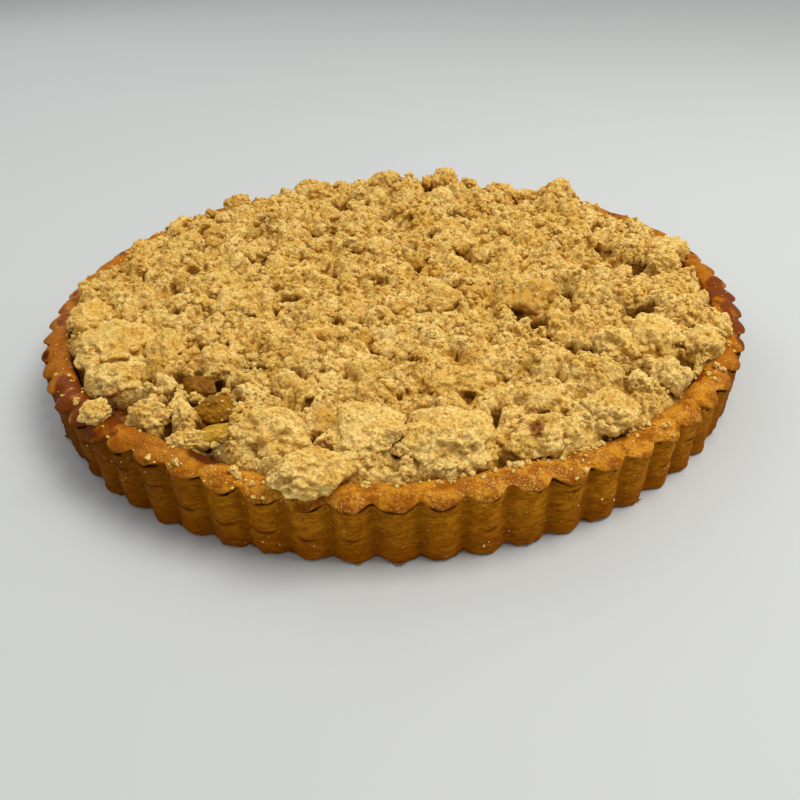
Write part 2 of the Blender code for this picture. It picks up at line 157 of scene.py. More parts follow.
def softNoise(points, size, seed):  # about -1 to 1
    p = points @ tilted / size
    cell = np.floor(p).astype(np.int64)
    f = p - cell
    f = f * f * f * (f * (f * 6 - 15) + 10)
    total = 0
    for corner in range(8):
        step = np.array((corner & 1, corner >> 1 & 1, corner >> 2))
        total = total + np.prod(np.where(step == 1, f, 1 - f), axis=-1) * cellShare(cell + step, seed)
    return 2 * total - 1


def packedGrains(points, size, seed, swollen=0.0):  # how far balls packed round the points stand out, 0 to 1
    p = points @ tilted / size
    cell = np.floor(p).astype(np.int64)
    out = np.zeros(p.shape[:-1])
    for number in range(27):
        here = cell + np.array((number % 3, number // 3 % 3, number // 9)) - 1
        centre = here + 0.1 + 0.8 * np.stack([cellShare(here, seed + axis) for axis in range(3)], -1)
        radius = 0.42 + swollen + 0.5 * cellShare(here, seed + 7)
        out = np.maximum(out, radius**2 - ((p - centre) ** 2).sum(-1))
    return np.sqrt(out) / (0.85 + swollen)


def mapFromAbove(mesh, points):  # for the bake, with what faces down apart in one corner
    loops, sides = np.zeros(len(mesh.loops), np.int32), np.zeros(len(mesh.polygons), np.int32)
    normals = np.zeros(3 * len(mesh.polygons), np.float32)
    mesh.loops.foreach_get("vertex_index", loops)
    mesh.polygons.foreach_get("loop_total", sides)
    mesh.polygons.foreach_get("normal", normals)
    down = np.repeat(normals[2::3] < 0, sides)[:, None]
    flat = np.asarray(points)[loops, :2]
    flat = (flat - flat.min(0)) / (flat.max(0) - flat.min(0)).max()
    return np.where(down, 0.79 + 0.2 * flat, 0.78 * flat) if down.mean() > 0.02 else flat


def newPiece(name, points, faces, finish, replaced=(), values=None, corners=None, smooth=True):
    mesh = bpy.data.meshes.new(name)
    mesh.from_pydata(np.asarray(points).tolist(), [], faces if isinstance(faces, list) else faces.tolist())
    for key, numbers in (values or {}).items():
        attribute = mesh.attributes.new(key, "FLOAT", "POINT")
        attribute.data.foreach_set("value", np.ascontiguousarray(numbers, np.float32).ravel())
    corners = mapFromAbove(mesh, points) if corners is None else corners
    mesh.uv_layers.new(name="OFBake").data.foreach_set("uv", np.asarray(corners, np.float32).ravel())
    if smooth:
        mesh.shade_smooth()
    mesh.materials.append(finish)
    piece = bpy.data.objects.new(name, mesh)
    bpy.context.scene.collection.objects.link(piece)
    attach(piece, "root")
    if replaced:
        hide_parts(*replaced)
    return piece


# Every finish is built from fields, which are sockets with arithmetic
def linear(red, green, blue):  # a colour given as 0 to 255 a channel
    shares = [value / 255 for value in (red, green, blue)]
    return [s / 12.92 if s <= 0.04045 else ((s + 0.055) / 1.055) ** 2.4 for s in shares] + [1]


class Field:
    def __init__(self, finish, socket):
        self.finish = finish
        self.socket = socket

    def sum(self, operation, first, second=0):
        return self.finish.node("ShaderNodeMath", {"operation": operation}, {0: first, 1: second})

    def __add__(self, other):
        return self.sum("ADD", self, other)

    def __radd__(self, other):
        return self.sum("ADD", other, self)

    def __sub__(self, other):
        return self.sum("SUBTRACT", self, other)

    def __rsub__(self, other):
        return self.sum("SUBTRACT", other, self)

    def __mul__(self, other):
        return self.sum("MULTIPLY", self, other)

    def __rmul__(self, other):
        return self.sum("MULTIPLY", other, self)

    def __pow__(self, other):
        return self.sum("POWER", self, other)


class Finish:
    def __init__(self, name, settings):
        self.material = bpy.data.materials.new(name)
        self.material.use_nodes = True
        self.tree = self.material.node_tree
        self.shader = self.tree.nodes["Principled BSDF"]
        for socket, value in settings.items():
            self.shader.inputs[socket].default_value = value
        self.place = self.node("ShaderNodeTexCoord", output="Object")

    def node(self, kind, settings=None, sockets=None, output=0):
        made = self.tree.nodes.new(kind)
        for name, value in (settings or {}).items():
            if name == "stops":
                ramp = made.color_ramp.elements
                while len(ramp) < len(value):
                    ramp.new(0.5)
                for element, (position, colour) in zip(ramp, value):
                    element.position = position
                    element.color = colour
            else:
                setattr(made, name, value)
        for name, value in (sockets or {}).items():
            if isinstance(value, Field):
                self.tree.links.new(value.socket, made.inputs[name])
            else:
                made.inputs[name].default_value = value
        return Field(self, made.outputs[output])

    def stretched(self, x, y, z):
        return self.node("ShaderNodeVectorMath", {"operation": "MULTIPLY"}, {0: self.place, 1: (x, y, z)})

    def clouds(self, size, detail=3, roughness=0.5, where=None):  # 0 to 1, size in metres
        sockets = {"Vector": where or self.place, "Scale": 1 / size, "Detail": detail, "Roughness": roughness}
        return self.node("ShaderNodeTexNoise", None, sockets, "Fac")

    def cells(self, size, output="Distance", feature="F1", where=None):
        sockets = {"Vector": where or self.place, "Scale": 1 / size}
        return self.node("ShaderNodeTexVoronoi", {"feature": feature}, sockets, output)

    def grains(self, size, steep=1.5):  # balls packed together: 1 on top of a grain, 0 between grains
        away = self.cells(size)
        inside = self.node("ShaderNodeMath", {"operation": "MAXIMUM"}, {0: 1 - away * away * steep, 1: 0.0})
        return inside ** 0.5

    def values(self, *names):  # numbers stored on the piece's points
        return [self.node("ShaderNodeAttribute", {"attribute_name": name}, None, "Fac") for name in names]

    def between(self, field, low, high):  # 0 below low, 1 above high, smooth between
        sockets = {"Value": field, "From Min": low, "From Max": high}
        return self.node("ShaderNodeMapRange", {"interpolation_type": "SMOOTHSTEP"}, sockets)

    def mix(self, share, first, second, way="MIX"):
        made = self.tree.nodes.new("ShaderNodeMix")
        made.data_type = "RGBA"
        made.blend_type = way
        for index, value in ((0, share), (6, first), (7, second)):
            if isinstance(value, Field):
                self.tree.links.new(value.socket, made.inputs[index])
            else:
                made.inputs[index].default_value = value
        return Field(self, made.outputs[2])

    def layered(self, colours, colour, layers):  # a layer is its share, and a field or the name of its colour
        colour = colours.get(colour, colour)
        for share, tint in layers:
            colour = self.mix(share, colour, colours.get(tint, tint))
        return colour

    def axis(self, name):
        return self.node("ShaderNodeSeparateXYZ", None, {0: self.place}, name)

    def feed(self, socket, field):
        self.tree.links.new(field.socket, self.shader.inputs[socket])

    def bump(self, *layers):  # each layer is a height field and its size in metres
        before = None
        for height, depth in layers:
            sockets = {"Height": height, "Distance": depth, "Strength": 1.0}
            if before:
                sockets["Normal"] = before
            before = self.node("ShaderNodeBump", None, sockets)
        self.feed("Normal", before)


crumbColours = {
    "light": linear(252, 228, 158),
    "pale": linear(240, 206, 124),
    "gold": linear(222, 180, 86),
    "toasted": linear(198, 144, 54),
    # crease, deep and poreShade are colours of painted shade, for creases, pits and hollows between grains
    "crease": linear(200, 146, 34),
    "deep": linear(106, 58, 3),
    "poreShade": linear(162, 102, 8),
    "speck": linear(92, 54, 14),
    "jam": linear(134, 66, 12),
}
crumbGrain = {"grain": 1.5 * mm, "small": 0.85 * mm, "sand": 0.7 * mm, "specks": 1.7 * mm, "speckShare": 0.35}


def crumbFinish(name):
    f = Finish(name, {
        "Roughness": 0.9, "Specular IOR Level": 0.1, "Subsurface Weight": 0.35,
        "Subsurface Radius": (1.0, 0.5, 0.16), "Subsurface Scale": 1.0 * mm,
    })
    tone, hollow, toast, jam, pit = f.values("tone", "hollow", "toast", "jam", "pit")
    sand = f.between(f.clouds(crumbGrain["sand"], 2, 0.7), 0.3, 0.7)
    grain, small = f.grains(crumbGrain["grain"], 2.3), f.grains(crumbGrain["small"], 2.0)
    tint, smallTint = f.cells(crumbGrain["grain"], "Color"), f.cells(crumbGrain["small"], "Color")
    # how far between two grains a point is, for painted shade there
    between = (1 - grain) * 0.6 + (1 - small) * 0.4
    unspeckled = 1 - crumbGrain["speckShare"]
    chosen = f.between(f.clouds(3.5 * mm, 1), unspeckled, unspeckled + 0.1)
    stained = f.between(jam + (f.clouds(1.6 * mm, 2) - 0.5) * 0.9, 0.45, 0.95) * 0.85
    f.feed("Base Color", f.layered(crumbColours, "pale", (
        (f.between(f.clouds(12 * mm, 2), 0.36, 0.64) * 0.8, "gold"),
        # painted shade in the low spots of the sand
        ((1 - sand) * 0.18, "crease"),
        (f.between(tint * 0.5 + smallTint * 0.5, 0.5, 0.72) * 0.3, "light"),
        ((1 - f.between(tint, 0.2, 0.5)) * 0.18, "toasted"),
        (f.between(f.clouds(5 * mm, 3, 0.6) + tone * 0.09 + toast * 0.3, 0.5, 0.84) * 0.8, "toasted"),
        # painted shade between the grains, darkest in the gaps
        (f.between(between, 0.25, 0.8) * 0.3, "crease"),
        (f.between(between, 0.65, 1.0) * 0.4, "poreShade"),
        # painted shade in the pits between packed grains and in splits
        (f.between(pit, 0.15, 0.85) * 0.5, "poreShade"),
        (f.between(pit, 0.65, 1.0) * 0.4, "deep"),
        # painted shade below what is round a point, and deep in the gaps, where the crumb is also dark with juice
        (f.between(hollow, 0.02, 0.5) * 0.6, "crease"),
        (f.between(hollow, 0.3, 1.0) * 0.85, "deep"),
        ((1 - f.between(f.cells(crumbGrain["specks"]), 0.06, 0.16)) * chosen * 0.7, "speck"),
        (stained, "jam"),
    )))
    f.feed("Roughness", 0.9 - stained * 0.5)
    f.bump((grain, 0.4 * mm), (small, 0.18 * mm), (sand, 0.14 * mm))
    return f.material


crustColours = {
    "wall": linear(166, 96, 6),
    "wallPale": linear(198, 132, 24),
    "wallLow": linear(136, 68, 2),
    # valley is partly painted shade in the flute valleys, partly darker baked mottling
    "valley": linear(104, 54, 3),
    "rim": linear(194, 130, 30),
    # rimBrown serves mottling, painted shade between the rim's grains, and the darker sides
    "rimBrown": linear(146, 80, 8),
    # rimPale is the colour of painted glints, with pale sugar crystals
    "rimPale": linear(232, 182, 96),
    "toastedEdge": linear(112, 54, 4),
    "caramel": linear(112, 50, 2),
    "caramelEdge": linear(172, 102, 8),
    "burnt": linear(70, 24, 2),
    # crack is the dark inside cracks and under the lip, painted shade in them
    "crack": linear(58, 24, 4),
    "flour": linear(232, 202, 148),
}


def crustFinish():
    f = Finish("pastry", {"Roughness": 0.6, "Specular IOR Level": 0.02, "Coat Roughness": 0.25})
    rim, baked, valley, crack, caramel, burnt, edge = f.values(
        "rimShare", "baked", "valley", "crack", "caramel", "burnt", "edge",
    )
    sheets = f.stretched(1, 1, 1.8)
    fine = f.clouds(2.2 * mm, 4, 0.7, sheets)
    bent = f.clouds(6 * mm, 3, 0.6, f.stretched(1, 1, 4)) - 0.5
    wrinkles = 1 - f.between(f.node("ShaderNodeMath", {"operation": "ABSOLUTE"}, {0: bent}), 0.0, 0.03)
    low = 1 - f.between(f.axis("Z") + f.clouds(9 * mm, 2) * 8 * mm, 4 * mm, 21 * mm)
    wall = f.layered(crustColours, "wall", (
        (f.between(f.clouds(5 * mm, 3, 0.6, sheets), 0.3, 0.72) * 0.8, "wallPale"),
        (f.between(fine, 0.45, 0.7) * 0.32, "valley"),
        (f.between(fine, 0.55, 0.3) * 0.28, "wallPale"),
        (wrinkles * 0.35, "wallLow"),
        (low * 0.7, "wallLow"),
        # painted shade in the flute valleys
        (f.between(valley, 0.3, 1.0) * 0.35, "valley"),
        # darker sides: partly uneven baking, partly painted shade where less light falls
        (baked * 0.85, "valley"),
    ))
    grain = f.grains(1.1 * mm)
    # glints: painted highlights and pale sugar crystals on the rim's grain
    glints = f.between(f.clouds(0.6 * mm, 2, 0.7), 0.5, 0.66) * f.between(f.clouds(7 * mm, 2), 0.35, 0.6)
    top = f.layered(crustColours, "rim", (
        (f.between(f.clouds(5 * mm, 3, 0.65), 0.38, 0.62), "rimBrown"),
        (f.between(edge + f.clouds(4 * mm, 3) - 0.5, 0.45, 1.1) * 0.8, "toastedEdge"),
        # painted shade between the rim's grains
        ((1 - grain) * 0.45, "rimBrown"),
        (glints * 0.5, "rimPale"),
        # darker sides: partly uneven baking, partly painted shade where less light falls
        (baked * 0.75, "rimBrown"),
    ))
    flakes = (1 - f.between(f.cells(3.1 * mm), 0.05, 0.14)) * f.between(f.clouds(11 * mm, 1), 0.5, 0.6)
    sticky = f.between(caramel + (f.clouds(2.4 * mm, 3) - 0.5) * 0.7, 0.12, 0.6)
    thick = f.between(caramel + (f.clouds(2.6 * mm, 3, 0.6) - 0.5) * 1.6, 0.4, 1.0)
    syrup = f.mix(thick, crustColours["caramelEdge"], crustColours["caramel"])
    scorched = f.between(burnt + (f.clouds(1.8 * mm, 3) - 0.5) * 0.6, 0.2, 0.9)
    f.feed("Base Color", f.layered(crustColours, f.mix(f.between(rim, 0.25, 0.75), wall, top), (
        # the dark of the cracks and of the split under the lip is painted shade in them
        (flakes * 0.7, "flour"), (crack, "crack"), (sticky, syrup), (scorched * 0.9, "burnt"),
    )))
    f.feed("Roughness", 0.6 - sticky * 0.18)
    f.feed("Coat Weight", sticky * 0.03 + f.between(rim, 0.4, 1.0) * (1 - scorched) * 0.03)
    rough = 1 - sticky * 0.75
    sides = 1 - f.between(rim, 0.1, 0.5)
    f.bump(
        (fine * sides, 0.42 * mm), (wrinkles * sides, -0.16 * mm), (grain * rough * (1 - sides), 0.28 * mm),
        (f.clouds(3 * mm, 3) * sticky, 0.9 * mm),
    )
    return f.material


def juiceFinish():
    f = Finish("apple juice", {
        "Roughness": 0.35, "Specular IOR Level": 0.2, "Coat Weight": 0.12, "Coat Roughness": 0.1,
    })
    colour = f.mix(f.between(f.clouds(4 * mm, 3), 0.35, 0.7), linear(84, 40, 5), linear(146, 84, 12))
    f.feed("Base Color", colour)
    f.bump((f.clouds(3 * mm, 3), 0.5 * mm))
    return f.material


def appleFinish(name, flesh, edge, granular):
    f = Finish(name, {"Roughness": 0.4, "Specular IOR Level": 0.06, "Coat Weight": 0.05, "Coat Roughness": 0.12})
    fibres = f.clouds(2.2 * mm, 3, 0.6, f.stretched(1, 2.6, 1.4))
    colour = f.mix(f.between(fibres, 0.3, 0.7), flesh, edge)
    colour = f.mix(f.between(f.clouds(5 * mm, 2), 0.5, 0.75) * 0.7, colour, edge)
    grain = f.grains(1.5 * mm)
    # painted shade between the grains, in the darker edge colour
    colour = f.mix((1 - grain) * 0.5 * granular, colour, edge)
    f.feed("Base Color", colour)
    f.bump((fibres, 0.45 * mm), (grain, 0.5 * mm * granular))
    return f.material


def sugarFinish():
    f = Finish("sugar", {"Roughness": 0.45, "Subsurface Weight": 0.2, "Subsurface Radius": (0.002, 0.002, 0.0015)})
    f.feed("Base Color", f.mix(f.clouds(2 * mm, 1), linear(240, 206, 148), linear(216, 172, 106)))
    return f.material


# The pastry case
crust = {
    "stepsPerFlute": 16,
    "wallRows": 33,
    "rimRows": 15,
    "slopeRoundness": 1.8,
    "crestRows": 8,
    "wallWaves": 0.4 * mm,
    "wallWrinkles": 0.26 * mm,
    "wallCreases": 0.32 * mm,
    "rimLumps": 0.35 * mm,
    "footRaggedness": 0.45 * mm,
    "rimGrain": 0.2 * mm,
    "lipWaves": 0.45 * mm,
    "caramelDepth": 0.22 * mm,
    "valleyLift": 0.9 * mm,  # how much higher the lip is between two flutes
    "crestPull": 1.3 * mm,  # how far the rim's crest goes inwards there
    # Sticky juice that boiled over: turn in degrees, reach, half turn, half reach, strength
    "caramel": (
        (-49.5, 0.93, 8.5, 0.085, 1.3), (-54.5, 0.955, 4.5, 0.05, 0.9), (-43.6, 0.975, 2.6, 0.04, 1.1),
        (-60.5, 0.925, 3.5, 0.03, 0.8), (-57.5, 0.965, 4.0, 0.03, 0.8),
        (82.0, 0.955, 6.5, 0.035, 1.2), (73.0, 0.975, 4.5, 0.035, 1.1), (103.5, 0.965, 5.0, 0.035, 1.0),
        (54.0, 0.915, 3.0, 0.02, 1.1),
        (-42.0, 0.9, 3.0, 0.02, 0.9), (-83.0, 0.955, 4.5, 0.03, 0.85), (-93.5, 0.96, 4.0, 0.03, 0.8),
        (65.8, 0.985, 2.8, 0.03, 1.0), (70.5, 0.955, 2.5, 0.025, 0.8), (81.5, 0.975, 6.0, 0.04, 1.0),
        (53.5, 0.923, 2.6, 0.018, 1.0), (104.0, 0.96, 9.0, 0.03, 0.75), (122.0, 0.95, 5.0, 0.03, 0.8),
        (-72.0, 0.925, 2.2, 0.01, 0.6), (-112.0, 0.95, 6.0, 0.03, 0.8), (158.0, 0.95, 5.0, 0.03, 0.8),
        (-150.0, 0.955, 5.0, 0.03, 0.7), (20.0, 0.915, 2.0, 0.01, 0.5),
    ),
    # Scorched spots, the same way
    "burnt": (
        (-26.4, 0.931, 2.3, 0.019, 2.0), (-71.7, 0.985, 1.1, 0.012, 1.2), (-45.0, 0.99, 2.5, 0.012, 0.7),
        (40.0, 0.982, 1.5, 0.01, 0.5), (135.0, 0.985, 1.4, 0.012, 0.8), (-140.0, 0.985, 1.5, 0.012, 0.7),
        (97.0, 0.99, 1.5, 0.012, 0.6),
    ),
    # Cracks across one flute: turn in degrees, height, half turn in degrees, sag
    "cracks": (
        (-39.3, 17.5 * mm, 2.0, 0.6 * mm), (-33.7, 16.6 * mm, 2.1, 1.0 * mm), (-28.2, 12.2 * mm, 2.2, 0.7 * mm),
        (-22.7, 10.6 * mm, 2.0, 0.6 * mm), (-17.1, 10.4 * mm, 1.9, 0.7 * mm), (-11.6, 9.0 * mm, 1.5, 0.4 * mm),
        (-6.0, 10.2 * mm, 1.6, 0.7 * mm), (10.6, 11.0 * mm, 1.4, 0.5 * mm), (21.7, 18.2 * mm, 1.9, 0.3 * mm),
        (32.8, 19.0 * mm, 1.8, 0.4 * mm), (38.3, 10.0 * mm, 1.5, 0.5 * mm),
    ),
    "moreCracks": 34,
    "seenTurns": (-42, 40),  # no more cracks where the photo shows the wall
    "mapBands": 4,
    # darker sides, partly from uneven baking and partly painted shade where less light fell: turn and half width in
    # degrees, share
    "baked": ((-78, 42, 1.0), (-44, 28, 0.9), (84, 46, 1.0), (180, 60, 0.4)),
    "seed": 21,
}


def patchMask(turns, reach, patches):
    mask = 0
    for at, out, halfTurn, halfReach, strength in patches:
        away = degreesFrom(turns, at)
        mask = mask + strength * np.exp(-((away / halfTurn) ** 2) - ((reach - out) / halfReach) ** 2)
    return np.clip(mask, 0, 1.2)


def gridNormals(points):  # of rows of points round the axis, from below outside to above inside
    along = np.roll(points, -1, 1) - np.roll(points, 1, 1)
    up = np.empty_like(points)
    up[1:-1] = points[2:] - points[:-2]
    up[0] = points[1] - points[0]
    up[-1] = points[-1] - points[-2]
    normals = np.cross(along, up)
    return normals / np.maximum(np.linalg.norm(normals, axis=-1, keepdims=True), 1e-12)

def crackLines():  # those of the photo, and more where it shows no wall
    rng = random.Random(crust["seed"])
    cracks = list(crust["cracks"])
    first, last = crust["seenTurns"]
    for number in range(crust["moreCracks"]):
        flute = rng.randrange(tart["flutes"])
        at = math.degrees(tart["firstValley"]) + (flute + 0.5) * 360 / tart["flutes"]
        if not first < (at + 180) % 360 - 180 < last:
            cracks.append((at, rng.uniform(7, 19) * mm, rng.uniform(1.0, 2.1), rng.uniform(0.2, 0.9) * mm))
    return cracks


def unrolledMap(points):  # the profile unrolled in bands over a strip with the base and the floor
    steps, bands = points.shape[1], crust["mapBands"]
    along = np.linalg.norm(np.diff(points, axis=0), axis=-1).mean(1)
    share = np.concatenate([[0], np.cumsum(along)])[:, None] / along.sum()
    step = np.arange(steps)
    band = step * bands // steps
    level = 0.25 + 0.75 * (band + 0.02 + 0.96 * share) / bands
    left = np.broadcast_to(step * bands / steps - band, level[1:].shape)
    right = left + bands / steps
    corners = np.stack([left, level[:-1], right, level[:-1], right, level[1:], left, level[1:]], -1).reshape(-1, 2)
    base, floor = points[0, ::-1, :2] * (-1, 1) / (2 * tart["radius"]), points[-1, :, :2] / (2 * tart["radius"])
    return np.concatenate([corners, base * 0.24 + (0.125, 0.125), floor * 0.1 + (0.32, 0.125)])


def makeCrust():
    steps = tart["flutes"] * crust["stepsPerFlute"]
    turns = tart["firstValley"] + math.tau * np.arange(steps) / steps
    bulge = fluteBulge(turns)
    rise = rimRise(turns)
    ragged = tart["lipRaggedness"] * np.abs(ringNoise(turns, 24, 2.0)) * np.sin(2 * turns) ** 2
    outer = tart["radius"] - tart["fluteDepth"] * (1 - bulge) - ragged
    lip = tart["lipHeight"] + rise - tart["lipDroop"] * bulge - tart["lipUnevenness"] * ringNoise(turns, 31, 7.0)
    lip = lip + crust["valleyLift"] * (1 - bulge)
    rimTop = tart["rimHeight"] + rise
    rimCrest = tart["rimCrest"] - crust["crestPull"] * (1 - bulge)
    split = smoothstep(-0.06, 0.1, ringNoise(turns, 27, 13.0) + 0.5 * ringNoise(turns, 70, 14.0)
                       + 0.22 * swell(turns, 0, 30))
    rows = []

    def wall(height):
        crest = tart["radius"] - tart["lipOverhang"] - tart["wallLean"] * (1 - height / tart["lipHeight"])
        return crest - tart["wallDepth"] * (1 - bulge)

    def row(radius, height, rimShare, crack=0):
        rows.append([radius + 0 * turns, height + 0 * turns, rimShare + 0 * turns, crack + 0 * turns])

    row(tart["floorRadius"], 0, 0)
    row(wall(0) - tart["footRounding"], 0, 0)
    for number in range(1, crust["wallRows"]):
        share = (number / (crust["wallRows"] - 1)) ** 1.05
        height = share * (lip - 2.1 * mm)
        tuck = np.clip(1 - height / tart["footRounding"], 0, 1)
        row(wall(height) - tart["footRounding"] * (1 - np.sqrt(1 - tuck**2)), height, 0)
    lip = lip + crust["lipWaves"] * ringNoise(turns, 48, 17.0)
    row(wall(lip), lip - 1.5 * mm, 0)
    # the split under the lip is set back, with its dark line painted shade
    row(wall(lip) - 0.05 * mm * split, lip - 1.15 * mm, 0.05, 0.5 * split)
    row(wall(lip) - 0.6 * mm * split, lip - 0.92 * mm, 0.1, 1.0 * split)
    row(wall(lip) - 1.0 * mm * split, lip - 0.55 * mm, 0.15, 1.0 * split)
    row(wall(lip) + 0.15 * mm, lip - 0.16 * mm, 0.3, 0.9 * split)
    row(outer - 0.1 * mm, lip + 0.02 * mm, 0.55)
    row(outer, lip + 0.22 * mm, 0.75)
    row(outer - 0.06 * mm, lip + 0.45 * mm, 0.9)
    for number in range(1, crust["rimRows"] + 1):  # a convex slope from the lip up to the crest
        share = number / crust["rimRows"]
        height = lip + 0.45 * mm + (rimTop - lip - 0.45 * mm) * (1 - (1 - share) ** crust["slopeRoundness"])
        row((1 - share) * (outer - 0.06 * mm) + share * rimCrest, height, 1)
    for number in range(1, crust["crestRows"] + 1):
        share = number / crust["crestRows"]
        radius = (1 - share) * rimCrest + share * tart["rimInner"]
        row(radius, rimTop - tart["rimInnerDrop"] * share**2, 1)
    row(tart["rimInner"] - 0.25 * mm, rimTop - 1.5 * mm, 1)
    row(tart["rimInner"] - 0.5 * mm, rimTop - 2.5 * mm, 1)
    row(tart["rimInner"] - 0.6 * mm, tart["fillingTop"] - 0.8 * mm, 1)
    row(tart["floorRadius"], tart["floorThickness"], 1)

    rows = np.array(rows)
    radius, height, rimShare, crack = rows[:, 0], rows[:, 1], rows[:, 2], rows[:, 3]
    turned = np.broadcast_to(turns, radius.shape)
    points = np.stack([radius * np.sin(turned), -radius * np.cos(turned), height], -1)
    reach = radius / tart["radius"]

    for at, level, halfTurn, sag in crackLines():
        away = degreesFrom(turned, at) / halfTurn
        line = level - sag * (1 - np.minimum(away**2, 1)) + 0.35 * mm * softNoise(points, 2.5 * mm, 31)
        strength = np.clip(1 - np.abs(away) ** 3, 0, 1) * (rimShare < 0.05)
        crack = np.maximum(crack, strength * np.exp(-(((height - line) / (0.42 * mm)) ** 2)))

    caramel = patchMask(turned, reach, crust["caramel"]) * smoothstep(0.3, 0.8, rimShare)
    caramel = np.clip(caramel * (1 + 0.55 * softNoise(points, 4.5 * mm, 50)), 0, 1.2)
    burnt = patchMask(turned, reach, crust["burnt"]) * smoothstep(0.3, 0.8, rimShare)
    top = smoothstep(0.5, 1.0, rimShare)
    flat = points * np.array((1, 1, 3.0))
    crease = 1 - np.abs(softNoise(points * np.array((1, 1, 3.4)), 6.5 * mm, 47))
    relief = (1 - top) * (
        crust["wallWaves"] * softNoise(points, 10 * mm, 41) + crust["wallWrinkles"] * softNoise(flat, 3.2 * mm, 42)
        + 0.6 * crust["wallWrinkles"] * softNoise(flat, 1.9 * mm, 43)
        - crust["wallCreases"] * smoothstep(0.8, 1.0, crease) * smoothstep(-0.3, 0.4, softNoise(points, 12 * mm, 48))
    )
    blisters = packedGrains(points, 5.5 * mm, 44)
    foot = smoothstep(3.0 * mm, 0.3 * mm, height) * (rimShare < 0.05)
    relief += foot * crust["footRaggedness"] * softNoise(points, 2.0 * mm, 53)
    relief += top * (1 - 0.8 * np.minimum(caramel, 1)) * (
        crust["rimLumps"] * softNoise(points, 6 * mm, 45) + crust["rimGrain"] * softNoise(points, 1.8 * mm, 46)
        + 0.3 * mm * (blisters - 0.6)
    )
    relief += crust["caramelDepth"] * smoothstep(0.3, 0.6, caramel)
    relief -= 0.42 * mm * crack * (rimShare < 0.05)
    hidden = (radius < tart["rimInner"] - 0.55 * mm) | (height < 0.01 * mm)
    points = points + gridNormals(points) * np.where(hidden, 0, relief)[..., None]
    points = np.clip(points, np.array(cadBox[0]), np.array(cadBox[1]))
    number = np.arange(radius.size).reshape(radius.shape)
    faces = ringQuads(number).tolist() + [number[0, ::-1].tolist(), number[-1].tolist()]
    # darker sides, partly uneven baking and partly painted shade
    baked = sum(share * swell(turns, at, wide) for at, wide, share in crust["baked"])
    values = {
        "baked": np.clip(np.broadcast_to(baked, rimShare.shape) + 0.3 * softNoise(points, 30 * mm, 49), 0, 1),
        "rimShare": rimShare, "valley": np.broadcast_to(1 - bulge, rimShare.shape), "crack": np.clip(crack, 0, 1),
        "caramel": caramel, "burnt": burnt,
        "edge": smoothstep(0.972, 0.998, reach) * np.broadcast_to(0.4 + 0.6 * bulge, reach.shape),
    }
    return newPiece(
        "fluted_crust", points.reshape(-1, 3), faces, crustFinish(), ["crust"], values, unrolledMap(points),
    )


crustPiece = makeCrust()
print("crust", len(crustPiece.data.polygons), "faces")


